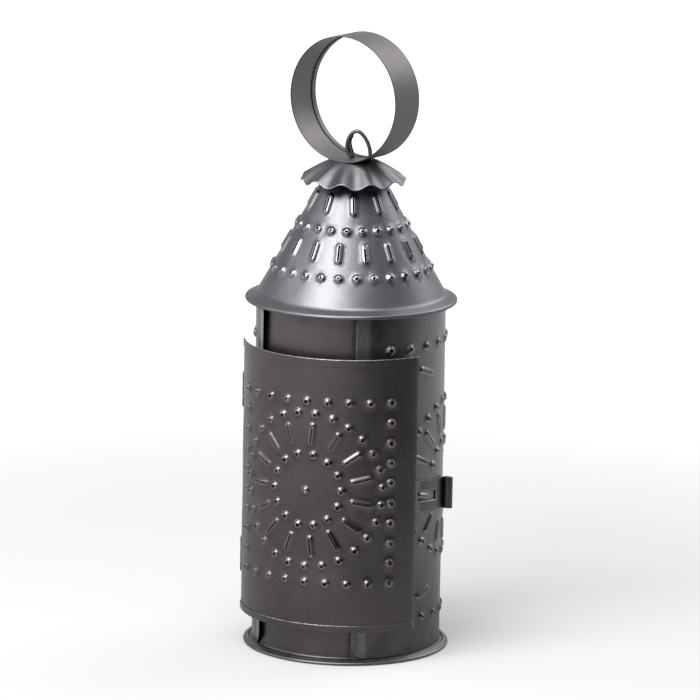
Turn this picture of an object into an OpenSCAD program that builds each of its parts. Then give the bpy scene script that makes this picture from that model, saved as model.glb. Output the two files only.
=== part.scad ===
// Punched tin lantern: a sheet metal candle lantern with a curved, hinged door and a flat ring handle.
// The origin is the centre of the base's underside, +Z is up, and the door faces -Y.
// An azimuth is an angle about +Z: 0 faces -Y, and a positive one turns toward +X, the latch side.

/* [Sheet metal] */
// Thickness of the tin sheet
sheet = 0.5; // [0.4:0.1:0.7]
// Play between two sheets of which one lies in or on the other
lap_gap = 0.1; // [0.05:0.05:0.2]
// Slope of the flared brim, fall over run
flare_slope = 0.41; // [0.3:0.01:0.5]

/* [Base] */
// Diameter of the base, over its rolled edge
base_d = 124.4; // [120:0.1:128]
// Height at which the base collar bends out to its flange
foot_h = 3; // [2.8:0.1:4]
// Height of the base collar
base_collar_h = 30; // [24:1:40]
// Width of the base's edge where it is folded over the flange
base_lip = 2.6; // [2:0.1:3]

/* [Body] */
// Outer diameter of the body wall
body_d = 114.3; // [112:0.1:116]
// Height of the body wall
wall_h = 211.75; // [205:0.25:230]
// Azimuth of the bend beside the doorway on the latch side
doorway_right = 35.4; // [33:0.1:40]
// Azimuth of the bend beside the doorway on the hinge side
doorway_left = 47.6; // [44:0.1:50]
// Width of the strip that is bent out along each side of the doorway
stile_w = 9; // [7:0.5:10]
// Angle by which that strip is bent out
stile_flare = 9; // [5:1:14]
// Size of the cut-off corners of that strip
stile_clip = 5.5; // [4:0.5:7]
// Height of the collar that joins the wall and the roof
roof_collar_h = 40; // [34:1:46]

/* [Roof] */
// Diameter of the brim
brim_d = 127.8; // [124:0.1:130]
// Width of the brim's edge where it is folded under the collar's flange
brim_lip = 2.6; // [2:0.1:3]
// Height of the roof cone above the brim
cone_h = 79.5; // [76:0.1:90]
// Diameter of the cone at its top
cone_top_d = 24.4; // [24:0.1:27]

/* [Ruffled cap] */
// Diameter of the ruffled cap
cap_d = 63; // [58:0.5:68]
// Diameter of the cap's flat middle
cap_flat_d = 28.5; // [27:0.5:31]
// Fall of the cap from its flat middle to its edge
cap_fall = 11.2; // [10:0.1:16]
// Number of flutes round the cap
flutes = 11; // [8:1:14]
// Height of the flutes at the cap's edge, from crest to hollow
flute_h = 3.4; // [2:0.1:4]
// Azimuth of a flute's crest
flute_az = 10; // [0:1:30]

/* [Ring handle] */
// Outer diameter of the ring
ring_d = 76.2; // [66:0.1:90]
// Width of the ring's flat band
band_w = 25.4; // [20:0.1:30]
// Width of the hem along the band's rear edge
band_hem = 4.2; // [3:0.1:5]
// Turn of the ring about the lantern's axis
ring_turn = -11; // [-20:1:20]

/* [Wire eye] */
// Diameter of the wire
wire_d = 2.4; // [1.8:0.1:2.6]
// Height of the eye above the ring's band, to the wire's inside
eye_h = 15.8; // [14:0.1:20]
// Distance between the wire's two legs
leg_pitch = 11.9; // [10:0.1:12]
// Distance of the middle between the legs from the lantern's axis
eye_shift = 4.1; // [3:0.1:4.3]
// Distance by which the eye bulges out past its leg on the leaning side
eye_bulge = 5; // [3:0.1:6]
// Distance by which the eye's top lies off the middle between the legs
eye_lean = 2.2; // [0:0.1:3]
// Turn of the eye about the lantern's axis
eye_turn = 10; // [0:1:20]
// Length of the leg ends that are bent over under the cap
clinch_l = 3.4; // [3:0.1:4]
// Play of the wire in its holes
wire_play = 0.3; // [0.2:0.1:0.5]

/* [Door] */
// Gap between the body wall and the door's inner face
door_gap = 6.35; // [6:0.05:7]
// Height of the door's lower edge
door_bottom = 21.2; // [16:0.1:24]
// Height of the door
door_h = 166.3; // [160:0.1:172]
// Half of the angle that the door covers
door_half = 62.8; // [60:0.1:64]
// Width of the door's hems
door_hem = 4; // [3:0.1:5]
// Height by which a hem stands out
hem_rise = 0.6; // [0.4:0.1:0.8]

/* [Hinges] */
// Diameter of the hinge pins
pin_d = 2.4; // [2:0.1:2.6]
// Play between a pin and a knuckle, all round
pin_play = 0.05; // [0.03:0.01:0.08]
// Height of a hinge
hinge_h = 20; // [16:0.5:24]
// Distance of a hinge's middle from the door's mid height
hinge_offset = 51; // [40:0.5:60]
// Angle from the door's edge to the hinge axis
hinge_lead = 3.2; // [3:0.1:4]
// Height of the door's knuckle in the middle of a hinge
knuckle_h = 8; // [6:0.5:10]
// Gap between two knuckles
knuckle_gap = 0.4; // [0.3:0.05:0.6]
// Length of the leaf that lies on the body wall or on the door
leaf_l = 15; // [10:0.5:18]

/* [Latch] */
// Width of the latch strap
strap_w = 19; // [16:0.5:22]
// Height of the strap's middle
strap_z = 98.3; // [94:0.1:102]
// Slant of the strap, lower toward its curl
strap_tilt = 7; // [0:0.5:8]
// Gap between the strap and the body wall
strap_gap = 0.45; // [0.4:0.05:0.7]
// Angle from the door's edge to the place where the strap meets the wall
strap_lead = 9; // [7:0.5:11]
// Angle from the door's edge to the place where the strap leaves the wall toward its curl
strap_reach = 36.2; // [33:0.1:38]
// Outer diameter of the rolled curl that a finger pulls
curl_d = 6.3; // [5:0.1:7]
// Length of the slot in the strap
catch_slot_l = 21.5; // [20:0.5:23]
// Height of the slot in the strap
catch_slot_h = 6; // [5:0.1:8]
// Angle from the door's edge to the raised ridge that the slot drops over
catch_lead = 13.2; // [12.2:0.1:14.2]
// Length of that ridge
catch_l = 12; // [10:0.5:13]
// Slant of that ridge
catch_tilt = -13; // [-14:1:-6]

/* [Candle holder] */
// Bore of the candle cup, for a candle of 7/8 inch
cup_bore = 22.2; // [18:0.1:26]
// Depth of the candle cup
cup_depth = 24; // [18:1:30]
// Diameter of the drip pan
pan_d = 64; // [50:1:80]
// Height of the drip pan's rim
pan_h = 5; // [4:0.5:8]

/* [Punches] */
// Diameter of a raised punch at its foot
punch_d = 6; // [5:0.1:6.4]
// Height of a raised punch
punch_h = 1.6; // [1.2:0.1:1.8]
// Diameter of the hole at a punch's tip
punch_hole = 1.7; // [1.2:0.1:2]
// Length of a chisel slot at its foot
slot_l = 15; // [12:0.5:16]
// Width of a chisel slot at its foot
slot_w = 4.2; // [3.6:0.1:4.6]
// Width of the slit along a chisel slot's top
slit_w = 0.8; // [0.5:0.1:1]

/* [Wheel motif] */
// Height of the wheels' middle
wheel_z = 107; // [104:0.5:110]
// Radius of the outer circle of dots
wheel_r = 47; // [45:0.5:48]
// Number of dots in the outer circle
wheel_dots = 27; // [20:1:30]
// Radius of the inner circle of dots
hub_r = 22; // [18:0.5:24]
// Number of dots in the inner circle
hub_dots = 14; // [8:1:16]
// Radius of the middle of the spokes
spoke_r = 34.7; // [33:0.1:36]
// Number of spokes
spokes = 15; // [10:1:16]
// Azimuth of the wheels on the body wall, on either side
body_wheel_az = 105; // [103:0.5:112]

/* [Rows of punches] */
// Half of the angle that the door's frame of dots spans
frame_half = 46.5; // [46:0.5:52]
// Height of the frame's lower row
frame_low = 50.5; // [46:0.5:52]
// Height of the frame's upper row
frame_high = 161; // [160:0.5:166]
// Number of dots in each row of the frame
frame_row = 9; // [7:1:11]
// Height of the row round the foot of the body wall
low_row_z = 24.2; // [20:0.1:26]
// Height of the row round the top of the body wall
high_row_z = 191; // [189:0.5:196]
// Azimuth of the first dot of those rows
row_start = 48.2; // [46:0.1:50]
// Number of dots that those rows would have in a full turn
row_turn = 26; // [20:1:28]
// Angle from a body wheel's middle to the slots at its corners
corner_turn = 28.5; // [27:0.5:30]
// Distance of those slots from the wheel's middle, up and down
corner_rise = 68; // [67:0.5:69]
// Slant of those slots
corner_tilt = 20; // [10:1:25]
// Heights above the brim's bend of the cone's two rows of dots
cone_dot_rows = [16.8, 42.6]; // [14:0.1:46]
// Number of dots in each of these rows
cone_dot_turn = [28, 22]; // [16:1:30]
// Heights above the brim's bend of the middles of the cone's two rows of slots
cone_slot_rows = [30.4, 57]; // [28:0.1:60]
// Number of slots in each of these rows
cone_slot_turn = [16, 10]; // [8:1:17]
// Length of the cone's slots at their foot
cone_slot_l = 14; // [12:0.5:15]

/* [Hidden] */
$fn = 96;
tin = "#5d585a";
dark_tin = "#4a4648";
inner_tin = "#6b6668";
wire = "#3f3d40";
degree = 180 / PI;

// Levels and radii of the wall, the collars and the brim
body_r = body_d / 2;
collar_r = body_r - sheet - lap_gap - sheet / 2;
wall_z0 = foot_h + sheet / 2 + lap_gap;
wall_z1 = wall_z0 + wall_h;
flare_rise = sqrt(1 + flare_slope * flare_slope);
flange_step = (sheet + lap_gap) * flare_rise;
foot_flange_r = base_d / 2 - sheet - lap_gap - 0.3;
foot_rest_z = sheet + lap_gap + 0.35;
foot_slope = (foot_h - foot_rest_z) / (foot_flange_r - collar_r);
foot_step = (sheet + lap_gap) * sqrt(1 + foot_slope * foot_slope);
roof_flange_z = wall_z1 + lap_gap + sheet / 2 * flare_rise;
stile_bend_r = 0.65 * sheet;
stile_setback = 0.4;
stile_h = wall_h - 2 * stile_setback;
bend_r = body_r - sheet / 2;
bend_z = roof_flange_z + flange_step + flare_slope * (body_r - bend_r);
cone_top_r = cone_top_d / 2;
cone_angle = atan((bend_r - cone_top_r) / cone_h);
cap_z = bend_z + cone_h + sheet / 2 + lap_gap;
cap_top = cap_z + sheet;
ring_z = cap_top + lap_gap + ring_d / 2;

// Places of the door, its hinges and its latch; the strap slants about its middle azimuth
door_r = body_r + door_gap;
door_z = door_bottom + door_h / 2;
knuckle_bore = pin_d + 2 * pin_play;
knuckle_r = knuckle_bore / 2 + sheet;
hinge_r = door_r - sheet / 2 - lap_gap - sheet / 4;
hinge_az = -door_half - hinge_lead;
strap_r = body_r + strap_gap + sheet / 2;
strap_end = door_half + strap_reach;
strap_az = (door_half + strap_lead + strap_end) / 2 - 1.4;
catch_az = door_half + catch_lead;
tab_r = door_r - 2 * lap_gap - sheet / 2;

// A point at a radius and an azimuth, seen from above
function polar(r, az) = r * [sin(az), -cos(az)];

// The outline of a bent sheet whose middle follows a path
function along(a, b) = (b - a) / norm(b - a);
function leftward(v) = [-v[1], v[0]];
function corner(path, i) =
  let (last = len(path) - 1)
  let (before = along(path[max(i, 1) - 1], path[max(i, 1)]))
  let (after = along(path[min(i, last - 1)], path[min(i, last - 1) + 1]))
  let (sum = leftward(before) + leftward(after))
  sum / (sum * leftward(before));
function bent_sheet(path, thickness) = concat(
  [for (i = [0:len(path) - 1]) path[i] + thickness / 2 * corner(path, i)],
  [for (i = [len(path) - 1:-1:0]) path[i] - thickness / 2 * corner(path, i)]
);

// A surface of quads over a grid of points, closed round both ways or capped at its ends
function grid_faces(rows, across) = [
  for (i = [0:rows - 2]) for (j = [0:across - 1])
    let (a = i * across + j)
    let (b = i * across + (j + 1) % across)
    each [[a, b, b + across], [a, b + across, a + across]]
];

// Height on the brim's slope, and the cone's outer radius at a height
function brim_z(r) = bend_z - flare_slope * (r - bend_r);
function cone_r(height) = bend_r - height * tan(cone_angle) + sheet / 2 / cos(cone_angle);

// The wheel: dots as [azimuth, height], and spokes as [azimuth, height, slant]
function circle_of(count, radius, phase) =
  [for (k = [0:count - 1]) radius * [cos(phase + 360 * k / count), sin(phase + 360 * k / count)]];
function wheel_dot_places(r, az) = [
  for (q = concat(circle_of(wheel_dots, wheel_r, 10 / 3), circle_of(hub_dots, hub_r, 1), [[0, 0]]))
    [az + q[0] / r * degree, wheel_z + q[1]]
];
function spoke_places(r, az) = [
  for (k = [0:spokes - 1])
    let (slant = (k + 0.5) * 360 / spokes)
    [az + spoke_r * cos(slant) / r * degree, wheel_z + spoke_r * sin(slant), slant]
];

// The door's frame of dots
function frame_places() = concat(
  [for (k = [0:frame_row - 1], z = [frame_low, frame_high]) [frame_half * (2 * k / (frame_row - 1) - 1), z]],
  [for (k = [1:frame_row - 1], s = [-1, 1])
    [s * frame_half, frame_low + k * (frame_high - frame_low) / frame_row]]
);

// The body wall's rows, corner slots and catch
function row_places() = [
  for (k = [0:row_turn - 1], z = [low_row_z, high_row_z])
    let (az = row_start + k * 360 / row_turn)
    if (az < 360 - doorway_left - 8) [az, z]
];
function corner_places(az) = [
  for (side = [-1, 1], rise = [-1, 1])
    [az + side * corner_turn, wheel_z + rise * corner_rise, side * rise * corner_tilt]
];

// A punch on the wall is left out where a hinge leaf or the latch strap lies
function under_leaf(p) =
  abs(p[0] - hinge_az + leaf_l / 2) < leaf_l / 2 + 8
  && abs(abs(p[1] - door_z) - hinge_offset) < hinge_h / 2 + punch_d / 2 + 1;
function strap_line(az) = strap_z - (az - strap_az) / degree * strap_r * tan(strap_tilt);
function under_strap(p) =
  p[0] > door_half - 6 && p[0] < strap_end + 12
  && abs(p[1] - strap_line(p[0])) < strap_w / 2 + punch_d;
function open_places(places) = [for (p = places) if (!under_leaf(p) && !under_strap(p)) p];

module on_wall(r, place) {
  rotate([0, 0, place[0]])
    translate([0, -r, place[1]])
      rotate([90, 0, 0])
        children();
}

module on_cone(az, height) {
  rotate([0, 0, az])
    translate([0, -cone_r(height), bend_z + height])
      rotate([90 - cone_angle, 0, 0])
        children();
}

// The outside of a raised punch, and the hollow in it that opens at its tip
module punch_rise() {
  sink = 0.3;
  translate([0, 0, -sink])
    cylinder(h = punch_h + sink, d1 = punch_d + 0.2, d2 = punch_hole + 1);
}

module punch_hollow() {
  sink = sheet + 0.4;
  reach = sink + punch_h + 0.4;
  translate([0, 0, -sink])
    cylinder(h = reach, d1 = punch_d - 0.2, d2 = punch_hole - 0.6);
}

// A long pyramid with a flat top, from which a ridge and its hollow are made
module long_rise(length, width, top_length, top_width, z0, z1) {
  intersection() {
    rotate([90, 0, 90])
      linear_extrude(height = length, center = true)
        polygon([[-width / 2, z0], [width / 2, z0], [top_width / 2, z1], [-top_width / 2, z1]]);
    rotate([90, 0, 0])
      linear_extrude(height = width, center = true)
        polygon([[-length / 2, z0], [length / 2, z0], [top_length / 2, z1], [-top_length / 2, z1]]);
  }
}

module slot_rise(length, width) {
  long_rise(length, width, length - 3, slit_w + 0.9, -0.3, punch_h - 0.1);
}

module slot_hollow(length, width) {
  long_rise(length - 0.8, width - 0.4, length - 4, slit_w - 0.1, -sheet - 0.4, punch_h);
}

// A thin ring about the axis between two heights
module tube(r, wall, z0, z1) {
  translate([0, 0, z0])
    difference() {
      cylinder(h = z1 - z0, r = r);
      translate([0, 0, -1])
        cylinder(h = z1 - z0 + 2, r = r - wall);
    }
}

// Everything between two azimuths less than 180 degrees apart, out to a radius
module sector(az0, az1, reach) {
  far = reach / cos((az1 - az0) / 4);
  middle = (az0 + az1) / 2;
  linear_extrude(height = 1000, center = true)
    polygon([[0, 0], polar(far, az0), polar(far, middle), polar(far, az1)]);
}

module base_disc() {
  edge_r = base_d / 2 - sheet / 2;
  lip_z = foot_h + foot_step - foot_slope * (edge_r - collar_r);
  color(dark_tin)
    rotate_extrude()
      polygon(bent_sheet([
        [0, sheet / 2],
        [edge_r, sheet / 2],
        [edge_r, lip_z],
        [edge_r - base_lip, lip_z + foot_slope * base_lip]
      ], sheet));
}

module base_collar() {
  color(inner_tin)
    rotate_extrude()
      polygon(bent_sheet([
        [foot_flange_r, foot_rest_z],
        [collar_r, foot_h],
        [collar_r, foot_h + base_collar_h]
      ], sheet));
}

// One bent-out strip beside the doorway, with its two corners cut off, and the round of its bend
module stile(az, side) {
  rotate([0, 0, az])
    translate([0, -body_r + sheet / 2, wall_z0 + stile_setback]) {
      cylinder(h = stile_h, r = stile_bend_r);
      rotate([90, 0, -side * stile_flare])
        linear_extrude(height = sheet, center = true)
          polygon([
            [0, 0], [side * (stile_w - stile_clip), 0], [side * stile_w, stile_clip],
            [side * stile_w, stile_h - stile_clip], [side * (stile_w - stile_clip), stile_h], [0, stile_h]
          ]);
    }
}

module body_shell() {
  wheels = [-body_wheel_az, body_wheel_az];
  rows = [for (p = row_places()) [p[0] > 180 ? p[0] - 360 : p[0], p[1]]];
  dots = open_places(concat(wheel_dot_places(body_r, wheels[0]), wheel_dot_places(body_r, wheels[1]), rows));
  slots = open_places(concat(
    spoke_places(body_r, wheels[0]), spoke_places(body_r, wheels[1]),
    corner_places(wheels[0]), corner_places(wheels[1])
  ));
  color(tin)
    difference() {
      union() {
        difference() {
          rotate([0, 0, -90])
            tube(body_r, sheet, wall_z0, wall_z1);
          sector(-doorway_left, doorway_right, 2 * body_r);
        }
        stile(doorway_right, -1);
        stile(-doorway_left, 1);
        for (p = dots) on_wall(body_r, p) punch_rise();
        for (p = slots) on_wall(body_r, p) rotate([0, 0, p[2]]) slot_rise(slot_l, slot_w);
        on_wall(body_r, [catch_az, strap_line(catch_az)])
          rotate([0, 0, catch_tilt])
            slot_rise(catch_l, slot_w - 0.8);
      }
      for (p = dots) on_wall(body_r, p) punch_hollow();
      for (p = slots) on_wall(body_r, p) rotate([0, 0, p[2]]) slot_hollow(slot_l, slot_w);
    }
}

module roof_collar() {
  flange_r = brim_d / 2 - sheet - lap_gap - 0.5;
  color(inner_tin)
    rotate_extrude()
      polygon(bent_sheet([
        [flange_r, brim_z(flange_r) - flange_step],
        [collar_r, brim_z(collar_r) - flange_step],
        [collar_r, brim_z(collar_r) - flange_step - roof_collar_h]
      ], sheet));
}

module roof_cone() {
  edge_r = brim_d / 2 - sheet / 2;
  hem_z = brim_z(edge_r) - 2 * flange_step;
  dot_rows = [for (i = [0, 1]) for (k = [0:cone_dot_turn[i] - 1])
    [360 * k / cone_dot_turn[i] + 1, cone_dot_rows[i]]];
  slot_rows = [for (i = [0, 1]) for (k = [0:cone_slot_turn[i] - 1])
    [360 * k / cone_slot_turn[i] + 12 * (1 + i), cone_slot_rows[i]]];
  color(tin)
    difference() {
      union() {
        rotate_extrude()
          polygon(bent_sheet([
            [cone_top_r, bend_z + cone_h],
            [bend_r, bend_z],
            [edge_r, brim_z(edge_r)],
            [edge_r, hem_z],
            [edge_r - brim_lip, hem_z + flare_slope * brim_lip]
          ], sheet));
        for (p = dot_rows) on_cone(p[0], p[1]) punch_rise();
        for (p = slot_rows) on_cone(p[0], p[1]) rotate([0, 0, 90]) slot_rise(cone_slot_l, slot_w);
      }
      for (p = dot_rows) on_cone(p[0], p[1]) punch_hollow();
      for (p = slot_rows) on_cone(p[0], p[1]) rotate([0, 0, 90]) slot_hollow(cone_slot_l, slot_w);
    }
}

// The cap's top surface: flat in the middle, then falling and waving more and more toward the edge
cap_rings = 6;
cap_steps = 6 * flutes;
function cap_share(i) = i < 1 ? 0 : (i - 1) / (cap_rings - 1);
function cap_point(i, j, drop) =
  let (share = cap_share(i))
  let (r = i < 1 ? cap_flat_d / 4 : cap_flat_d / 2 + share * (cap_d - cap_flat_d) / 2)
  let (az = flute_az + 360 * j / cap_steps)
  let (wave = flute_h / 2 * share * cos(flutes * 360 * j / cap_steps))
  [r * sin(az), -r * cos(az), cap_top - cap_fall * pow(share, 1.15) + wave - drop];

module ruffle_cap() {
  rows = cap_rings + 1;
  // Going out over the top and back in below, so that the sheet is one closed surface
  points = concat(
    [[0, 0, cap_top]],
    [for (i = [0:rows - 1]) for (j = [0:cap_steps - 1]) cap_point(i, j, 0)],
    [for (i = [rows - 1:-1:0]) for (j = [0:cap_steps - 1]) cap_point(i, j, sheet * (1 + 0.25 * cap_share(i)))],
    [[0, 0, cap_z]]
  );
  last = len(points) - 1;
  sides = [for (f = grid_faces(2 * rows, cap_steps)) [f[0] + 1, f[1] + 1, f[2] + 1]];
  top_fan = [for (j = [0:cap_steps - 1]) [0, 1 + (j + 1) % cap_steps, 1 + j]];
  first = last - cap_steps;
  low_fan = [for (j = [0:cap_steps - 1]) [last, first + j, first + (j + 1) % cap_steps]];
  color(tin)
    difference() {
      polyhedron(points = points, faces = concat(top_fan, sides, low_fan));
      leg_holes(cap_z - 2, cap_top + 2);
    }
}

// The holes for the wire eye's two legs
module leg_holes(z0, z1) {
  rotate([0, 0, eye_turn])
    for (side = [-1, 1])
      translate([eye_shift + side * leg_pitch / 2, 0, z0])
        cylinder(h = z1 - z0, d = wire_d + 2 * wire_play);
}

module ring_handle() {
  outer = ring_d / 2;
  half = band_w / 2;
  color(tin)
    difference() {
      translate([0, 0, ring_z])
        rotate([90, 0, ring_turn])
          rotate_extrude()
            polygon([
              [outer, -half], [outer, half], [outer - sheet, half], [outer - sheet, band_hem - half],
              [outer - 2 * sheet, band_hem - half], [outer - 2 * sheet, -half]
            ]);
      leg_holes(cap_top - 1, ring_z - outer / 2);
    }
}

// The wire's course from one clinched end, up one leg, round the leaning eye and down to the other end
wire_r = wire_d / 2;
bend_in = wire_d * 0.75;
band_top = ring_z - ring_d / 2 + sheet;
clinch_z = cap_z - 0.3 - wire_r;
foot_z = band_top + 2;
eye_top_z = band_top + eye_h + wire_r;
function leg_bend(leg, angles) = [
  for (a = angles) [leg - bend_in * (1 - sin(a)), clinch_z + bend_in * (1 - cos(a))]
];
function curve(p, q, r, s, t) =
  pow(1 - t, 3) * p + 3 * t * pow(1 - t, 2) * q + 3 * t * t * (1 - t) * r + t * t * t * s;
function eye_path() =
  let (leg = leg_pitch / 2)
  let (top = [-eye_lean, eye_top_z])
  concat(
    [[-leg - clinch_l, clinch_z]],
    leg_bend(-leg, [0:22.5:90]),
    [for (t = [0:0.1:1])
      curve([-leg, foot_z], [-leg - eye_bulge, foot_z + 3.5], top - [5.2, 0], top, t)],
    [for (t = [0.1:0.1:1])
      curve(top, top + [3.2, 0], [leg + 0.6, foot_z + 7.5], [leg, foot_z], t)],
    leg_bend(leg, [90:-22.5:0]),
    [[leg - clinch_l, clinch_z]]
  );

module wire_eye() {
  path = eye_path();
  sides = 10;
  count = len(path);
  rings = [for (i = [0:count - 1]) for (k = [0:sides - 1])
    let (n = corner(path, i))
    let (a = 360 * k / sides)
    [path[i][0] + wire_r * cos(a) * n[0], wire_r * sin(a), path[i][1] + wire_r * cos(a) * n[1]]];
  caps = [[for (k = [sides - 1:-1:0]) k], [for (k = [0:sides - 1]) (count - 1) * sides + k]];
  color(wire)
    rotate([0, 0, eye_turn])
      translate([eye_shift, 0, 0])
        polyhedron(points = rings, faces = concat(grid_faces(count, sides), caps));
}

module door_panel() {
  dots = concat(wheel_dot_places(door_r, 0), frame_places());
  slots = spoke_places(door_r, 0);
  outer = door_r + sheet;
  color(tin)
    difference() {
      union() {
        intersection() {
          rotate_extrude()
            polygon([
              [door_r, door_bottom], [outer + hem_rise, door_bottom], [outer + hem_rise, door_bottom + door_hem],
              [outer, door_bottom + door_hem], [outer, door_bottom + door_h - door_hem],
              [outer + hem_rise, door_bottom + door_h - door_hem], [outer + hem_rise, door_bottom + door_h],
              [door_r, door_bottom + door_h]
            ]);
          sector(-door_half, door_half, 2 * body_r);
        }
        for (p = dots) on_wall(outer, p) punch_rise();
        for (p = slots) on_wall(outer, p) rotate([0, 0, p[2]]) slot_rise(slot_l, slot_w);
      }
      for (p = dots) on_wall(outer, p) punch_hollow();
      for (p = slots) on_wall(outer, p) rotate([0, 0, p[2]]) slot_hollow(slot_l, slot_w);
    }
}

// The latch: soldered under the door's edge, stepping in to the wall, following it and ending in a curl
module latch_strap() {
  tab = [for (az = [door_half - 12:3:door_half - 1.8]) polar(tab_r, az)];
  land = door_half + strap_lead;
  lie = [for (s = [0:1 / 9:1]) polar(strap_r, land + s * (strap_end - land))];
  leave = polar(strap_r, strap_end) + 5 * [cos(strap_end), sin(strap_end)];
  curl_r = curl_d / 2;
  curl_at = leave + (curl_r - sheet / 2 - 0.05) * [sin(strap_end), -cos(strap_end)];
  slot_az = catch_az + 2.5;
  tall = 2 * strap_w;
  color(dark_tin)
    difference() {
      intersection() {
        translate([0, 0, strap_z])
          union() {
            linear_extrude(height = tall, center = true)
              polygon(bent_sheet(concat(tab, lie, [leave]), sheet));
            translate([curl_at[0], curl_at[1], -tall / 2])
              difference() {
                cylinder(h = tall, r = curl_r);
                translate([0, 0, -1])
                  cylinder(h = tall + 2, r = curl_r - sheet);
              }
          }
        along_strap(strap_az)
          cube([2 * body_d, 2 * body_d, strap_w], center = true);
      }
      along_strap(slot_az)
        cube([catch_slot_l, 6, catch_slot_h], center = true);
    }
}

// The place on the strap at an azimuth, turned along its slant
module along_strap(az) {
  rotate([0, 0, az])
    translate([0, -strap_r, strap_line(az)])
      rotate([0, strap_tilt, 0])
        children();
}

// A hinge: its leaf on the wall, its leaf on the door, and its pin, standing at the hinge axis
module at_hinge(level) {
  translate([0, 0, door_z + level * hinge_offset - hinge_h / 2])
    children();
}

module knuckle(z0, z1) {
  axis = polar(hinge_r, hinge_az);
  translate([axis[0], axis[1], z0])
    difference() {
      cylinder(h = z1 - z0, r = knuckle_r);
      translate([0, 0, -1])
        cylinder(h = z1 - z0 + 2, d = knuckle_bore);
    }
}

// A point at a step along the wall and a step outward from the hinge axis
function by_hinge(along_wall, outward) =
  polar(hinge_r, hinge_az) + along_wall * [cos(hinge_az), sin(hinge_az)] + outward * polar(1, hinge_az);

module hinge_body_leaf(level) {
  leaf_r = body_r + lap_gap + sheet / 2;
  side = knuckle_r - sheet / 2 - 0.05;
  drop = hinge_r - leaf_r;
  start = hinge_az - 5;
  lower = (hinge_h - knuckle_h) / 2 - knuckle_gap;
  color(dark_tin)
    at_hinge(level)
      union() {
        difference() {
          linear_extrude(height = hinge_h)
            polygon(bent_sheet(concat(
              [by_hinge(-side, -0.4), by_hinge(-side, -drop + 2.4)],
              [for (az = [start:-2:start - leaf_l]) polar(leaf_r, az)]
            ), sheet));
          translate([by_hinge(0, 0)[0], by_hinge(0, 0)[1], lower])
            cylinder(h = hinge_h - 2 * lower, r = 4);
        }
        knuckle(0, lower);
        knuckle(hinge_h - lower, hinge_h);
      }
}

module hinge_door_leaf(level) {
  leaf_r = door_r - lap_gap - sheet / 2;
  side = knuckle_r - sheet / 2 - 0.05;
  start = -door_half - 0.4;
  lower = (hinge_h - knuckle_h) / 2;
  color(dark_tin)
    at_hinge(level)
      union() {
        difference() {
          linear_extrude(height = hinge_h)
            polygon(bent_sheet(concat(
              [by_hinge(0.4, side), by_hinge(1.9, side - 0.4)],
              [for (az = [start:2:start + leaf_l]) polar(leaf_r, az)]
            ), sheet));
          for (z = [-1, hinge_h - lower])
            translate([by_hinge(0, 0)[0], by_hinge(0, 0)[1], z])
              cylinder(h = lower + 1, r = 3.3);
        }
        knuckle(lower, lower + knuckle_h);
      }
}

module hinge_pin(level) {
  head_h = 0.6;
  axis = polar(hinge_r, hinge_az);
  color(wire)
    at_hinge(level)
      translate([axis[0], axis[1], 0])
        union() {
          translate([0, 0, -lap_gap])
            cylinder(h = hinge_h + 2 * lap_gap, d = pin_d);
          for (z = [-lap_gap - head_h, hinge_h + lap_gap])
            translate([0, 0, z])
              cylinder(h = head_h, r = knuckle_r - 0.1);
        }
}

module drip_pan() {
  rim_r = pan_d / 2 - sheet / 2;
  floor_z = sheet + lap_gap + sheet / 2;
  color(inner_tin)
    rotate_extrude()
      polygon(bent_sheet([
        [0, floor_z],
        [rim_r - pan_h + 1, floor_z],
        [rim_r, sheet + lap_gap + pan_h]
      ], sheet));
}

module candle_cup() {
  floor_z = 2 * (sheet + lap_gap);
  color(inner_tin)
    difference() {
      translate([0, 0, floor_z])
        cylinder(h = cup_depth + sheet, d = cup_bore + 2 * sheet);
      translate([0, 0, floor_z + sheet])
        cylinder(h = cup_depth + 1, d = cup_bore);
    }
}

base_disc();
base_collar();
body_shell();
roof_collar();
roof_cone();
ruffle_cap();
ring_handle();
wire_eye();
door_panel();
latch_strap();
hinge_body_leaf(1);  // upper_hinge_body_leaf
hinge_door_leaf(1);  // upper_hinge_door_leaf
hinge_pin(1);  // upper_hinge_pin
hinge_body_leaf(-1);  // lower_hinge_body_leaf
hinge_door_leaf(-1);  // lower_hinge_door_leaf
hinge_pin(-1);  // lower_hinge_pin
drip_pan();
candle_cup();
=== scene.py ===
"""Looks of the punched tin lantern: smooth punched sheets, hems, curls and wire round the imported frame.

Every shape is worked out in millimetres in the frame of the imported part: the origin is the centre of the
base's underside, +Z is up, the door faces -Y, and an azimuth is 0 toward -Y and grows toward +X.
"""

import math
from types import SimpleNamespace

import bpy
import numpy as np
from mathutils import Matrix
from mathutils.geometry import delaunay_2d_cdt


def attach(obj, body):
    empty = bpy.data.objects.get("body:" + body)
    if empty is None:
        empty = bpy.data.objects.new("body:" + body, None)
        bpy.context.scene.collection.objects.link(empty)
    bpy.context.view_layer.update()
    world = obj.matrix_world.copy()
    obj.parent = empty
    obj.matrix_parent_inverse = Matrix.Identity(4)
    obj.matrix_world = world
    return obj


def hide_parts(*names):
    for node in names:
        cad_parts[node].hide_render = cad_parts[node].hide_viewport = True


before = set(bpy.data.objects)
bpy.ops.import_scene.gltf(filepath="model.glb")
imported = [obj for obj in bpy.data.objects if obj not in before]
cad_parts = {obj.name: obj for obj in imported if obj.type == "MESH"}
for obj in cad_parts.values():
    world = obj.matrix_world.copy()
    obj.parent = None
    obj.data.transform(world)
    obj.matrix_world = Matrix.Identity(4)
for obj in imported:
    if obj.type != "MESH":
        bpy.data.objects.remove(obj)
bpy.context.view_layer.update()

bl_info = {
    "name": "Punched tin lantern",
    "version": (1, 0, 0),
    "blender": (4, 5, 0),
    "location": "3D View > Sidebar > Lantern",
    "description": "Makes the sheets, wire and finish of a punched tin lantern",
    "category": "Add Mesh",
}

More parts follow.
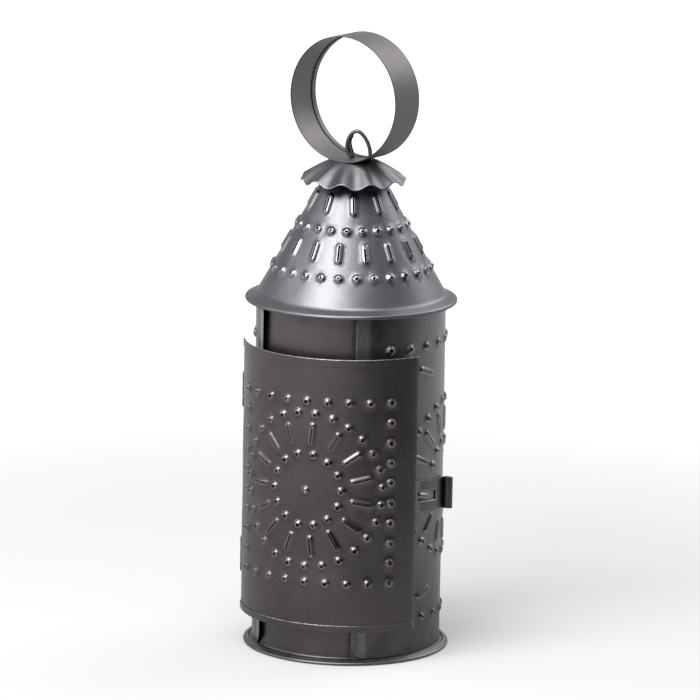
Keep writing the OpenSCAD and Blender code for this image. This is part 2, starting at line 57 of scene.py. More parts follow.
MM = 0.001
LAP = 0.1  # gap of a soldered lap, mm


# Sizes and colours

def length_of(name, text, millimetres):
    """A length property whose default is given in millimetres."""
    return bpy.props.FloatProperty(
        name=name, description=text, default=millimetres * MM, unit="LENGTH", precision=5)


def angle_of(name, text, degrees):
    """An angle property whose default is given in degrees."""
    return bpy.props.FloatProperty(
        name=name, description=text, default=math.radians(degrees), subtype="ANGLE")


def count_of(name, text, number):
    """A whole number of like things."""
    return bpy.props.IntProperty(name=name, description=text, default=number, min=1)


def colour_of(name, text, code):
    """A colour property whose default is an sRGB hex value."""
    return bpy.props.FloatVectorProperty(
        name=name, description=text, default=hex_rgb(code), subtype="COLOR", min=0, max=1)


def hex_rgb(code):
    """Turns an sRGB hex value into linear red, green and blue."""
    parts = [int(code[i:i + 2], 16) / 255 for i in (1, 3, 5)]
    return [p / 12.92 if p <= 0.04045 else ((p + 0.055) / 1.055) ** 2.4 for p in parts]


class LanternSizes(bpy.types.PropertyGroup):
    """Sizes of the sheets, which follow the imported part."""
    sheet: length_of("Sheet", "Thickness of the tin sheet", 0.5)
    flare: bpy.props.FloatProperty(
        name="Flare", description="Slope of the flared foot and brim", default=0.41)
    wall_d: length_of("Body diameter", "Outer diameter of the body wall", 114.3)
    wall_low: length_of("Wall foot", "Height of the wall's lower edge", 3.35)
    wall_high: length_of("Wall top", "Height of the wall's upper edge", 215.1)
    doorway_right: angle_of("Doorway, latch side", "Azimuth of the bend on the latch side", 35.4)
    doorway_left: angle_of("Doorway, hinge side", "Azimuth of the bend on the hinge side", 47.6)
    stile_w: length_of("Strip width", "Width of the strips bent out beside the doorway", 9)
    stile_flare: angle_of("Strip flare", "Angle by which the strips are bent out", 9)
    stile_clip: length_of("Strip corner", "Size of the strips' cut corners", 5.5)
    bend_z: length_of("Roof bend", "Height at which the cone meets the brim", 216.221)
    cone_h: length_of("Cone height", "Height of the cone above the brim", 79.5)
    cone_top_d: length_of("Cone top", "Diameter of the cone at its top", 24.4)
    brim_d: length_of("Brim diameter", "Diameter over the brim's edge", 127.8)
    base_d: length_of("Base diameter", "Diameter over the base's edge", 124.4)
    base_z: length_of("Base bend", "Height at which the base collar meets its flange", 3)
    door_r: length_of("Door radius", "Inner radius of the door", 63.5)
    door_low: length_of("Door foot", "Height of the door's lower edge", 21.2)
    door_h: length_of("Door height", "Height of the door", 166.3)
    door_half: angle_of("Half door", "Half of the angle that the door covers", 62.8)
    hem: length_of("Door hem", "Width of the door's hems", 4)
    cap_z: length_of("Cap height", "Height of the top of the ruffled cap", 296.571)
    cap_d: length_of("Cap diameter", "Diameter of the ruffled cap", 63)
    cap_flat_d: length_of("Cap's flat middle", "Diameter of the cap's flat middle", 28.5)
    cap_fall: length_of("Cap fall", "Fall of the cap from its middle to its edge", 11.2)
    flutes: count_of("Flutes", "Number of flutes round the cap", 11)
    flute_h: length_of("Flute height", "Height of the flutes at the cap's edge", 3.4)
    flute_az: angle_of("Flute azimuth", "Azimuth of a flute's crest", 10)
    ring_z: length_of("Ring height", "Height of the ring's middle", 334.771)
    ring_d: length_of("Ring diameter", "Outer diameter of the ring", 76.2)
    band_w: length_of("Band width", "Width of the ring's band", 25.4)
    band_hem: length_of("Band hem", "Width of the hem along the band's rear edge", 4.2)
    ring_turn: angle_of("Ring turn", "Turn of the ring about the lantern's axis", -11)
    wire_d: length_of("Wire", "Diameter of the wire", 2.4)
    eye_turn: angle_of("Eye turn", "Turn of the wire eye about the lantern's axis", 10)
    eye_h: length_of("Eye height", "Height of the eye above the band, to the wire's inside", 15.8)
    leg_pitch: length_of("Leg pitch", "Distance between the wire's two legs", 11.9)
    eye_shift: length_of("Eye shift", "Distance of the middle between the legs from the axis", 4.1)
    strap_w: length_of("Strap width", "Width of the latch strap", 19)
    strap_z: length_of("Strap height", "Height of the strap's middle", 98.3)
    strap_r: length_of("Strap radius", "Radius of the strap's middle where it follows the wall", 57.85)
    strap_az: angle_of("Strap azimuth", "Azimuth of the strap's middle", 84)
    strap_tilt: angle_of("Strap slant", "Slant of the strap, lower toward its curl", 7)
    hinge_r: length_of("Hinge radius", "Distance of the hinge axis from the lantern's axis", 63.025)
    hinge_az: angle_of("Hinge azimuth", "Azimuth of the hinge axis", -66)
    hinge_h: length_of("Hinge height", "Height of a hinge", 20)
    hinge_z: length_of("Hinges' middle", "Height halfway between the hinges", 104.35)
    hinge_pitch: length_of("Hinge pitch", "Distance from that height to a hinge's middle", 51)
    cup_bore: length_of("Cup bore", "Bore of the candle cup", 22.2)
    cup_depth: length_of("Cup depth", "Depth of the candle cup", 24)
    pan_d: length_of("Pan diameter", "Diameter of the drip pan", 64)
    pan_h: length_of("Pan rim", "Height of the drip pan's rim", 5)


class LanternPunches(bpy.types.PropertyGroup):
    """Sizes and places of the punches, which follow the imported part."""
    dot_d: length_of("Dot", "Diameter of a raised dot at its foot", 6.0)
    dot_hole: length_of("Dot hole", "Diameter of the hole in a dot", 1.8)
    rise: length_of("Rise", "Height of a dot", 1.6)
    slot_rise: length_of("Slot rise", "Height of a chisel slot", 1.5)
    slot_l: length_of("Slot length", "Length of a chisel slot at its foot", 15)
    slot_w: length_of("Slot width", "Width of a chisel slot at its foot", 4.6)
    slit_w: length_of("Slit width", "Width of the slit along a slot", 0.55)
    wheel_az: angle_of("Wheel azimuth", "Azimuth of the wall's wheels on either side", 105)
    wheel_z: length_of("Wheel height", "Height of the wheels' middle", 107)
    wheel_r: length_of("Wheel radius", "Radius of the outer circle of dots", 47)
    wheel_dots: count_of("Wheel dots", "Dots in the outer circle", 27)
    hub_r: length_of("Hub radius", "Radius of the inner circle of dots", 22)
    hub_dots: count_of("Hub dots", "Dots in the inner circle", 14)
    spoke_r: length_of("Spoke radius", "Radius of the middle of the spokes", 34.7)
    spokes: count_of("Spokes", "Number of spokes", 15)


class LanternFinish(bpy.types.PropertyGroup):
    """Colours of the blackened tin and the wire."""
    tin: colour_of("Tin", "Blackened tin of the wall, roof and cap", "#5f5e61")
    door_tin: colour_of("Door tin", "Blackened tin of the door, a little browner", "#4d494b")
    ring_tin: colour_of("Ring tin", "Blackened tin of the ring, matt", "#646163")
    inner_tin: colour_of("Inner tin", "Blackened tin of the collars and the inside", "#514d4d")
    dark_tin: colour_of("Dark tin", "Darkened tin of the hinges and latch", "#4c494a")
    wire: colour_of("Wire", "Annealed iron wire", "#4c4b50")
    # the rubbed tin also gives painted highlights along the door's hems and on the dots' tops
    rub_and_glint: colour_of("Rubbed tin", "Bright tin where an edge is rubbed", "#b9b7bb")


def sizes():
    """Every size of the scene's groups: lengths in millimetres, angles in radians, counts as they are."""
    found = {}
    for group in (bpy.context.scene.lantern_sizes, bpy.context.scene.lantern_punches):
        for key in group.__annotations__:
            value = getattr(group, key)
            found[key] = value / MM if group.bl_rna.properties[key].unit == "LENGTH" else value
    return SimpleNamespace(**found)


# Finishes

def empty_tree(owner):
    """The node tree of a material or world, with nothing in it."""
    owner.use_nodes = True
    owner.node_tree.nodes.clear()
    return owner.node_tree


def add_node(tree, kind, inputs=None, output=0, **settings):
    """Adds a node with its settings and links, and gives one of its outputs.

    An input is a value or the socket that feeds it.
    """
    made = tree.nodes.new("ShaderNode" + kind)
    for key, value in settings.items():
        setattr(made, key, value)
    for key, value in (inputs or {}).items():
        if isinstance(value, bpy.types.NodeSocket):
            tree.links.new(value, made.inputs[key])
        else:
            made.inputs[key].default_value = value
    return made.outputs[output] if made.outputs else None


def blackened_tin(name, colour, rub_and_glint, roughness, mottle, grain):
    """Blackened tin plate: a thin metal with a dark satin patina.

    The eye sees soft, wide highlights with a fine grain of about 0.9 mm in them, slow clouds of tone about
    35 mm across where the patina took unevenly, and paler rough metal where a strip is bent out, which is
    also painted light, paler where the light falls on it. A punch is smoother, and its colour is lifted as a
    painted highlight; its mouth is a darker brown. Brown painted shade lies on the wall beside the strips and
    toward its foot, on the collars beside the strips and along the ring's edges. Bright metal is where an
    edge is rubbed, and the same colour is a painted highlight along the door's hems and on the dots' tops.
    The grain is really finer than 0.5 mm and is drawn this coarse so that it shows.
    """
    made = bpy.data.materials.new(name)
    tree = empty_tree(made)
    place = add_node(tree, "TexCoord", output="Object")
    # each noise: its size in mm and its detail
    kinds = {"clouds": (35, 3.0), "specks": (0.9, 2.0), "fine": (0.9, 1.0), "slow": (9, 1.0),
             "flecks": (1.6, 2.0)}
    noise = {key: add_node(tree, "TexNoise", {
        "Vector": place, "Scale": 1 / (size * MM), "Detail": detail, "Roughness": 0.55})
        for key, (size, detail) in kinds.items()}
    mark = {key: add_node(tree, "Attribute", output="Fac", attribute_name=key)
            for key in ("worn", "raw", "stain", "struck")}
    spans = {
        "tone": ("clouds", 0.3, 0.7, 1 - mottle, 1 + mottle),
        "specks": ("specks", 0.3, 0.7, 0.9, 1.1),
        "stain": ("slow", 0.3, 0.7, 0.6, 1.0),
        "raw": ("specks", 0.3, 0.7, 0.0, 0.8),
        "worn": ("flecks", 0.42, 0.6, 0.3, 1.0),
        "dull": ("clouds", 0.3, 0.7, roughness - 0.04, roughness + 0.05)}
    span = {key: add_node(tree, "MapRange", {
        "Value": noise[source], "From Min": start, "From Max": end, "To Min": low, "To Max": high})
        for key, (source, start, end, low, high) in spans.items()}

    tone = add_node(tree, "Math", {0: span["tone"], 1: span["specks"]}, operation="MULTIPLY")
    # painted highlight: a punch's colour is lifted by up to 0.35 so that its highlight shows brighter
    lift = add_node(tree, "Math", {0: mark["struck"], 1: 0.35, 2: 1.0}, operation="MULTIPLY_ADD")
    tone = add_node(tree, "Math", {0: tone, 1: lift}, operation="MULTIPLY")
    shade = add_node(tree, "VectorMath", {0: colour[:3], "Scale": tone}, operation="SCALE")
    # brown painted shade and a punch's darker mouth; bare metal that is also painted light; rubbed metal that
    # is also a painted highlight
    shade_brown = [c * k for c, k in zip(colour, (0.36, 0.29, 0.23))]
    bare_and_lit = [0.5 * c for c in rub_and_glint]
    for key, other in (("stain", shade_brown), ("raw", bare_and_lit), ("worn", rub_and_glint)):
        share = add_node(tree, "Math", {0: mark[key], 1: span[key]}, operation="MULTIPLY")
        shade = add_node(tree, "Mix", {0: share, 6: shade, 7: (*other[:3], 1)}, 2, data_type="RGBA")

    dull = add_node(tree, "Math", {0: mark["raw"], 1: 0.06, 2: span["dull"]}, operation="MULTIPLY_ADD")
    dull = add_node(tree, "Math", {0: mark["struck"], 1: -0.15, 2: dull}, operation="MULTIPLY_ADD")
    heave = add_node(tree, "Math", {0: mark["raw"], 1: 2.5, 2: 1.0}, operation="MULTIPLY_ADD")
    height = add_node(tree, "Math", {0: noise["fine"], 1: heave}, operation="MULTIPLY")
    swell = add_node(tree, "Bump", {"Height": noise["slow"], "Strength": 0.25, "Distance": 0.6 * MM})
    bump = add_node(tree, "Bump", {
        "Height": height, "Strength": 1.0, "Distance": grain * MM, "Normal": swell})
    shader = add_node(tree, "BsdfPrincipled", {
        "Base Color": shade, "Metallic": 1.0, "Roughness": dull, "Normal": bump})
    add_node(tree, "OutputMaterial", {"Surface": shader})
    return made


# Each finish: its material's name, roughness, share of mottling and height of the grain in mm
FINISHES = {
    "tin": ("blackened_tin", 0.42, 0.14, 0.04),
    "cap_tin": ("blackened_tin_cap", 0.46, 0.22, 0.07),
    "ring_tin": ("blackened_tin_ring", 0.58, 0.1, 0.06),
    "door_tin": ("blackened_tin_door", 0.44, 0.14, 0.04),
    "inner_tin": ("blackened_tin_inside", 0.44, 0.14, 0.04),
    "dark_tin": ("blackened_tin_handled", 0.42, 0.14, 0.04),
    "wire": ("annealed_iron_wire", 0.36, 0.1, 0.02),
}


def finish_of(key):
    """The finish of a kind of sheet or wire, made once."""
    name, *settings = FINISHES[key]
    colours = bpy.context.scene.lantern_finish
    colour = getattr(colours, "tin" if key == "cap_tin" else key)
    return bpy.data.materials.get(name) or blackened_tin(name, colour, colours.rub_and_glint, *settings)


# Shape tools

def outward(az):
    """Unit vector in plan at an azimuth in radians."""
    return np.stack([np.sin(az), -np.cos(az)], -1)


def smooth(x):
    """Goes from 0 to 1 with level ends, as 3x^2 - 2x^3."""
    x = np.clip(x, 0, 1)
    return x * x * (3 - 2 * x)


def circle(radius, count, phase):
    """Points evenly round a circle about the origin, from a phase in degrees."""
    a = math.radians(phase) + 2 * math.pi * np.arange(count) / count
    return radius * np.stack([np.cos(a), np.sin(a)], -1)


def rotation(angle):
    """The matrix that turns a place in a plane by an angle in radians, as x cos - y sin and x sin + y cos."""
    return np.array([[math.cos(angle), -math.sin(angle)], [math.sin(angle), math.cos(angle)]])


class Course:
    """A line in a plane, made of arcs: each leg is a length and the angle in degrees that it turns left.

    The heading is the running sum of the turns, and the place is the running sum of the heading times
    the step.
    """

    def __init__(self, start, heading, legs, step=0.05):
        counts = [max(2, int(round(abs(length) / step))) for length, _ in legs]
        ds = np.repeat([length / n for (length, _), n in zip(legs, counts)], counts)
        dh = np.repeat([math.radians(turn) / n for (_, turn), n in zip(legs, counts)], counts)
        heads = math.radians(heading) + np.cumsum(dh) - dh / 2
        steps = ds[:, None] * np.stack([np.cos(heads), np.sin(heads)], -1)
        self.s = np.concatenate([[0], np.cumsum(ds)])
        self.xy = np.concatenate([[start], np.asarray(start) + np.cumsum(steps, 0)])
        self.heads = math.radians(heading) + np.concatenate([[0], np.cumsum(dh)])
        self.length = self.s[-1]

    def at(self, s):
        """Places at distances along the line."""
        return np.stack([np.interp(s, self.s, self.xy[:, 0]), np.interp(s, self.s, self.xy[:, 1])], -1)

    def left(self, s):
        """Unit vectors to the left of the line."""
        h = np.interp(s, self.s, self.heads)
        return np.stack([-np.sin(h), np.cos(h)], -1)


class Bent:
    """A line through corner points, softened: it is taken in short steps and each place is the mean of its
    neighbours within the softening length. It offers the same at and left as a Course."""

    def __init__(self, corners, soften, step=0.1):
        corners = np.asarray(corners, float)
        s = np.concatenate([[0], np.cumsum(np.linalg.norm(np.diff(corners, axis=0), axis=1))])
        places = np.arange(0, s[-1], step)
        line = np.stack([np.interp(places, s, corners[:, k]) for k in (0, 1)], -1)
        n = max(1, int(soften / step / 2))
        lead = line[0] - (line[1] - line[0]) * np.arange(n, 0, -1)[:, None]
        tail = line[-1] + (line[-1] - line[-2]) * np.arange(1, n + 1)[:, None]
        whole = np.concatenate([lead, line, tail])
        window = np.ones(2 * n + 1) / (2 * n + 1)
        self.xy = np.stack([np.convolve(whole[:, k], window, "valid") for k in (0, 1)], -1)
        self.s = np.concatenate([[0], np.cumsum(np.linalg.norm(np.diff(self.xy, axis=0), axis=1))])
        way = np.gradient(self.xy, axis=0)
        self.heads = np.unwrap(np.arctan2(way[:, 1], way[:, 0]))
        self.length = self.s[-1]

    at = Course.at
    left = Course.left


def wavy(points, amount, size, seed):
    """A slow random swell over points: a sum of six sine waves in random directions, about size mm apart."""
    rng = np.random.default_rng(seed)
    total = np.zeros(len(points))
    for _ in range(6):
        way = rng.normal(size=3)
        way /= np.linalg.norm(way) * size * rng.uniform(0.7, 1.5) / (2 * math.pi)
        total += np.sin(points @ way + rng.uniform(0, 2 * math.pi))
    return total * amount / 3


def grid_faces(rows, columns, close_rows=False, close_columns=False):
    """Quads over a grid of points, row by row, closed round where asked."""
    i = np.arange(rows if close_rows else rows - 1)
    j = np.arange(columns if close_columns else columns - 1)
    i, j = np.meshgrid(i, j, indexing="ij")
    i2, j2 = (i + 1) % rows, (j + 1) % columns
    corners = i * columns + j, i * columns + j2, i2 * columns + j2, i2 * columns + j
    return np.stack(corners, -1).reshape(-1, 4)


def mesh_piece(name, body, node, finish, surface, thickness=0.0):
    """Makes a smooth piece at the origin from a surface: its points in mm, its faces and its marks by name.

    A thickness in mm makes a sheet of it, half to each side. The piece rides on its body, stands for its node
    and takes its finish as its material.
    """
    points, faces, marks = surface
    faces = np.asarray(faces, np.int32)
    mesh = bpy.data.meshes.new(name)
    mesh.vertices.add(len(points))
    mesh.vertices.foreach_set("co", (np.asarray(points) * MM).astype(np.float32).ravel())
    mesh.loops.add(faces.size)
    mesh.loops.foreach_set("vertex_index", faces.ravel())
    mesh.polygons.add(len(faces))
    mesh.polygons.foreach_set("loop_start", np.arange(0, faces.size, faces.shape[1], dtype=np.int32))
    mesh.polygons.foreach_set("use_smooth", np.ones(len(faces), bool))
    mesh.update(calc_edges=True)
    for key, values in marks.items():
        layer = mesh.attributes.new(key, "FLOAT", "POINT")
        layer.data.foreach_set("value", np.clip(values, 0, 1).astype(np.float32))
    mesh.validate()
    mesh.materials.append(finish_of(finish))
    made = bpy.data.objects.new(name, mesh)
    bpy.context.scene.collection.objects.link(made)
    if thickness:
        solid = made.modifiers.new("Sheet", "SOLIDIFY")
        solid.thickness, solid.offset, solid.use_even_offset = thickness * MM, 0, False
    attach(made, body)
    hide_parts(node)


def clearance(points, capsules):
    """Distance from each point to the nearest capsule's side, negative inside it.

    A capsule is its middle, half of its line and its radius.
    """
    best = np.full(len(points), 1e9)
    for x, y, dx, dy, r in capsules:
        rel = points - [x, y]
        span = dx * dx + dy * dy
        t = np.clip((rel @ [dx, dy]) / span, -1, 1) if span > 0 else np.zeros(len(points))
        best = np.minimum(best, np.hypot(rel[:, 0] - t * dx, rel[:, 1] - t * dy) - r)
    return best


def inside(points, outline):
    """Whether each point lies inside a closed outline, by counting the sides that a ray crosses."""
    a, b = outline, np.roll(outline, -1, 0)
    y = points[:, 1, None]
    crosses = (a[:, 1] > y) != (b[:, 1] > y)
    with np.errstate(divide="ignore", invalid="ignore"):
        x = a[:, 0] + (y - a[:, 1]) * (b[:, 0] - a[:, 0]) / (b[:, 1] - a[:, 1])
    return (np.sum(crosses & (points[:, 0, None] < x), 1) % 2) == 1


class Pattern:
    """A flat sheet with punches: points with a height and a wear, and openings to leave out.

    A wear below 0 marks a punch's mouth, which is drawn a darker brown. A punch is a set of closed lines from
    its mouth, share 0, to past its foot, share 1: circles for a dot, and for a slot capsules, which are the
    places at one distance from a line. Its height falls as a power of the cosine of the share, so that both
    the mouth and the foot are round.
    """

    def __init__(self, outline, seed):
        self.outline = np.asarray(outline, float)
        self.points, self.rise, self.worn, self.loops = [], [], [], []
        self.openings, self.feet = [], []
        self.count = 0
        self.rng = np.random.default_rng(seed)

    def add(self, points, rise=0.0, worn=0.0, held=False):
        """Adds points with their height and wear. The closed line through them is kept where it is held."""
        points = np.asarray(points, float).reshape(-1, 2)
        self.points.append(points)
        self.rise.append(np.broadcast_to(rise, len(points)).astype(float))
        self.worn.append(np.broadcast_to(worn, len(points)).astype(float))
        index = self.count + np.arange(len(points))
        self.count += len(points)
        if held:
            self.loops.append(np.stack([index, np.roll(index, -1)], -1))

    @staticmethod
    def form(share, reach, power, most, fall):
        """Height and wear at a share of the way out: the cosine's power, and a rub that fades from the mouth,
        which is partly a painted highlight on a dot's top; the mouth itself is marked darker."""
        high = math.cos(min(share, reach) / reach * math.pi / 2) ** power
        return high, max(0.0, most - fall * share) if share else -1.0

    def dots(self, places, foot_r, hole_r, rise):
        """Adds dots at x and y, each a little different, as hand-held punches leave them."""
        sides, play = 14, 0.125
        draw = self.rng
        for x, y in places:
            x, y = x + draw.normal(0, play), y + draw.normal(0, play)
            tall = rise * draw.uniform(0.86, 0.97)
            mouth, foot = hole_r * draw.uniform(0.82, 1.2), foot_r * draw.uniform(0.94, 1.04)
            tear, off = draw.uniform(0, 2 * math.pi, 2), draw.normal(0, 0.16, 2)
            for k, share in enumerate((0, 0.1, 0.24, 0.4, 0.56, 0.72, 0.88, 1.02, 1.2)):
                a = 2 * math.pi * (np.arange(sides) + 0.5 * (k % 2)) / sides
                ragged = 0.13 * np.sin(3 * a + tear[0]) + 0.09 * np.sin(5 * a + tear[1])
                r = (mouth + (foot - mouth) * share) * (1 + ragged * max(0, 1 - 3 * share))
                high, worn = self.form(share, 1.15, 1.5, 0.4, 0.8)
                lip = 1 + 0.08 * np.sin(2 * a + tear[1]) * (k == 0)
                middle = np.array([x, y]) + off * max(0, 1 - share)
                around = middle + r[:, None] * np.stack([np.cos(a), np.sin(a)], -1)
                self.add(around, tall * high * lip, worn, held=k == 0)
            self.openings.append((x + off[0], y + off[1], 0, 0, 0.72 * mouth))
            self.feet.append((x, y, 0, 0, foot * 1.18 + 0.5))

    def slots(self, places, length, width, slit, rise, slit_open=True):
        """Adds chisel slots at x, y and a slant in radians, or closed ridges of the same form."""
        along = np.linspace(-1, 1, 9)
        t = np.concatenate([along, np.ones(4), -along, -np.ones(4)])
        a = np.radians([90] * 9 + [60, 30, -30, -60] + [-90] * 9 + [-120, -150, 150, 120])
        draw = self.rng
        for x, y, slant in places:
            x, y = x + draw.normal(0, 0.12), y + draw.normal(0, 0.12)
            slant = slant + draw.normal(0, 0.012)
            half = (length - width) / 2 * draw.uniform(0.95, 1.03)
            tall = rise * draw.uniform(0.75, 0.9)
            narrow = slit / 2 * draw.uniform(0.8, 1.25)
            line = half * math.cos(slant), half * math.sin(slant)
            for k, share in enumerate((0, 0.09, 0.24, 0.42, 0.62, 0.82, 1.02, 1.24)):
                d = narrow + (width / 2 - narrow) * share
                local = np.stack([half * t + d * np.cos(a), d * np.sin(a)], -1)
                high, worn = self.form(share, 1.2, 1.3, 0.12, 0.3)
                self.add(local @ rotation(slant).T + [x, y], tall * high, worn, held=k == 0)
            if slit_open:
                self.openings.append((x, y, *line, 0.96 * narrow))
            self.feet.append((x, y, *line, width / 2 * 1.2 + 0.5))

    def rim(self, spacing, worn, joined=()):
        """Adds the outline and a second one 0.15 mm inside it, so that the edge shades as a narrow round.

        The sides whose numbers are in joined meet another strip, so they show no wear.
        """
        sides = np.linalg.norm(np.roll(self.outline, -1, 0) - self.outline, axis=1)
        counts = np.maximum(1, np.ceil(sides / spacing).astype(int))
        for shift, wear in ((0.0, worn), (0.15, worn * 0.3)):
            corners = self.shrunk(shift)
            steps = (np.roll(corners, -1, 0) - corners)
            runs = [a + step * (np.arange(n) / n)[:, None] for a, step, n in zip(corners, steps, counts)]
            wears = np.where(np.isin(np.arange(len(corners)), joined), 0.0, wear)
            self.add(np.concatenate(runs), 0.0, np.repeat(wears, counts), held=True)

    def shrunk(self, by):
        """The outline moved inward by a distance, corner by corner."""
        p = self.outline
        if by == 0:
            return p
        u = np.roll(p, -1, 0) - p
        u /= np.linalg.norm(u, axis=1)[:, None]
        w = np.roll(u, 1, 0)
        nu, nw = np.stack([-u[:, 1], u[:, 0]], -1), np.stack([-w[:, 1], w[:, 0]], -1)
        both = nu + nw
        return p + by * both / np.sum(both * nu, 1)[:, None]

    def fill(self, points, margin):
        """Adds the loose points that keep clear of the punches and of the outline."""
        points = points[inside(points, self.shrunk(margin))]
        self.add(points[clearance(points, self.feet) > 0] if self.feet else points)

    def fill_grid(self, xs, ys, margin=0.6):
        """Fills with a grid whose every other row is shifted by half a step."""
        gx, gy = np.meshgrid(xs, ys, indexing="ij")
        gx[:, 1::2] += (xs[1] - xs[0]) * 0.5
        self.fill(np.stack([gx.ravel(), gy.ravel()], -1), margin)

    def cut(self):
        """Triangulates the points and leaves out what lies in an opening or outside the outline."""
        points, rise, worn = (np.concatenate(part) for part in (self.points, self.rise, self.worn))
        edges = np.concatenate(self.loops)
        verts, _, faces, origin, _, _ = delaunay_2d_cdt(points.tolist(), edges.tolist(), [], 0, 1e-6)
        first = np.array([o[0] if o else -1 for o in origin])
        flat = np.array([v[:] for v in verts])
        known = first >= 0
        flat[known] = points[first[known]]
        rise, worn = np.where(known, rise[first], 0), np.where(known, worn[first], 0)
        faces = np.array([f for f in faces if len(f) == 3])
        middle = flat[faces].mean(1)
        keep = inside(middle, self.outline)
        if self.openings:
            keep &= clearance(middle, self.openings) > 0
        a, b, c = (flat[faces[:, k]] for k in range(3))
        area = (b[:, 0] - a[:, 0]) * (c[:, 1] - a[:, 1]) - (b[:, 1] - a[:, 1]) * (c[:, 0] - a[:, 0])
        keep &= np.abs(area) > 1e-5
        faces = faces[keep]
        faces[area[keep] < 0] = faces[area[keep] < 0][:, ::-1]
        used, inverse = np.unique(faces, return_inverse=True)
        return flat[used], rise[used], worn[used], inverse.reshape(faces.shape)


def with_strips(sheet, strips):
    """Joins regular strips of columns, rows and wear to a cut sheet, and welds the points that meet."""
    points, rise, worn, faces = sheet
    for across, up, wear in strips:
        gx, gy = np.meshgrid(across, up, indexing="ij")
        quads = grid_faces(len(across), len(up))[:, ::-1] + len(points)
        faces = np.concatenate([faces, quads[:, [0, 1, 2]], quads[:, [0, 2, 3]]])
        points = np.concatenate([points, np.stack([gx.ravel(), gy.ravel()], -1)])
        rise = np.concatenate([rise, np.zeros(gx.size)])
        worn = np.concatenate([worn, wear.ravel()])
    key = np.round(points * 1000).astype(np.int64)
    _, first, inverse = np.unique(key, axis=0, return_index=True, return_inverse=True)
    return points[first], rise[first], worn[first], inverse.ravel()[faces]


def carried_round(course, along, worn=0.0, sweep=360.0, steps=240, lap=0.0, shade_stripes_at=()):
    """Carries a course of radius and height about the axis, from the back round to the back.

    A lap lifts the last 8 degrees by its height. Painted shade darkens a narrow stripe at each azimuth given
    for it, as the bell curve of the distance from it.
    """
    line, side = course.at(along), course.left(along)
    degrees = -180.0 + np.linspace(0, sweep, steps + 1)
    closed = sweep == 360
    if closed:
        degrees = degrees[:-1]
    lift = lap * smooth((degrees - (sweep - 188)) / 3)
    r = line[None, :, 0] + side[None, :, 0] * lift[:, None]
    z = line[None, :, 1] + side[None, :, 1] * lift[:, None]
    xyz = np.concatenate([outward(np.radians(degrees))[:, None, :] * r[..., None], z[..., None]], -1)
    bells = [np.exp(-((degrees - middle) / 1.3) ** 2) for middle in shade_stripes_at] or [np.zeros(len(degrees))]
    stain = np.repeat(0.8 * np.max(bells, 0), len(along))
    marks = {"worn": np.broadcast_to(worn, r.shape).ravel(), "stain": stain}
    return xyz.reshape(-1, 3), grid_faces(*r.shape, close_rows=closed), marks


def edge_worn(count, last):
    """Wear of a course's places: none but on the last ones, at a raw edge."""
    return np.where(np.arange(count) >= count - last, 0.9, 0.0)


def tube_along(path, radius, sides=16):
    """Carries a circle along a path of points. The circle's own frame is turned as little as possible from
    point to point, and each end is closed by a rounded cap of smaller circles."""
    step = np.gradient(path, axis=0)
    way = step / np.linalg.norm(step, axis=1)[:, None]
    normal = np.cross(way[0], [0.0, 1.0, 0.1])
    normals = []
    for d in way:
        normal = normal - d * np.dot(normal, d)
        normal /= np.linalg.norm(normal)
        normals.append(normal)
    normals = np.array(normals)
    second = np.cross(way, normals)
    a = 2 * math.pi * np.arange(sides)[:, None] / sides
    rounds = np.cos(a) * normals[:, None] + np.sin(a) * second[:, None]
    outs, smalls = np.array([0.35, 0.7, 0.85])[:, None, None], np.array([0.92, 0.6, 0.02])[:, None, None]
    start, end = (path[k] + sign * way[k] * radius * outs * 0.6 + radius * smalls * rounds[k]
                  for k, sign in ((0, -1), (-1, 1)))
    rings = np.concatenate([start[::-1], path[:, None] + radius * rounds, end])
    return rings.reshape(-1, 3), grid_faces(len(rings), sides, close_columns=True), {}


def rounded(points, count):
    """A smooth curve through points, by cubic pieces whose slope at a point is half the step across it."""
    p = np.asarray(points, float)
    m = np.gradient(p, axis=0)
    t = np.linspace(0, len(p) - 1, count)
    i = np.minimum(t.astype(int), len(p) - 2)
    f = (t - i)[:, None]
    return ((2 * f ** 3 - 3 * f ** 2 + 1) * p[i] + (f ** 3 - 2 * f ** 2 + f) * m[i]
            + (-2 * f ** 3 + 3 * f ** 2) * p[i + 1] + (f ** 3 - f ** 2) * m[i + 1])


def cubic(p, q, r, e, t):
    """Points of a cubic curve from p to e that leaves toward q and arrives from r."""
    t = t[:, None]
    p, q, r, e = (np.array(v, float) for v in (p, q, r, e))
    return (1 - t) ** 3 * p + 3 * t * (1 - t) ** 2 * q + 3 * t * t * (1 - t) * r + t ** 3 * e


def bent_plate(line, outline, openings, height_of, spacing=0.6):
    """Cuts a flat outline with oblong openings and bends it along a line in plan.

    A point's first number is its distance along the line, and height_of turns its place in plan and its
    second number into a height. An opening is its middle and its half length and half width.
    """
    cut = Pattern(outline, 2)
    nook, corner = 0.8, np.radians(np.arange(0, 360, 30) + 15)
    turn = np.stack([np.cos(corner), np.sin(corner)], -1)
    for x, y, half_l, half_w in openings:
        loop = [x, y] + np.sign(turn) * [half_l - nook, half_w - nook] + nook * turn
        cut.add(loop, 0.0, 0.5, held=True)
        cut.feet.append((x, y, half_l - half_w, 0, half_w + 0.4))
    low, high = np.min(outline, 0), np.max(outline, 0)
    cut.rim(spacing * 2, 0.4)
    across = np.arange(low[1] + 0.8, high[1] - 0.4, 1.6)
    cut.fill_grid(np.arange(low[0] + spacing, high[0], spacing), across, 0.4)
    points, _, worn, faces = cut.cut()
    middle = points[faces].mean(1)
    for x, y, half_l, half_w in openings:
        kept = (np.abs(middle[:, 0] - x) >= half_l) | (np.abs(middle[:, 1] - y) >= half_w)
        faces, middle = faces[kept], middle[kept]
    plan = line.at(points[:, 0])
    xyz = np.concatenate([plan, height_of(plan, points[:, 1])[:, None]], 1)
    return xyz, faces, {"worn": worn}


# Punch places

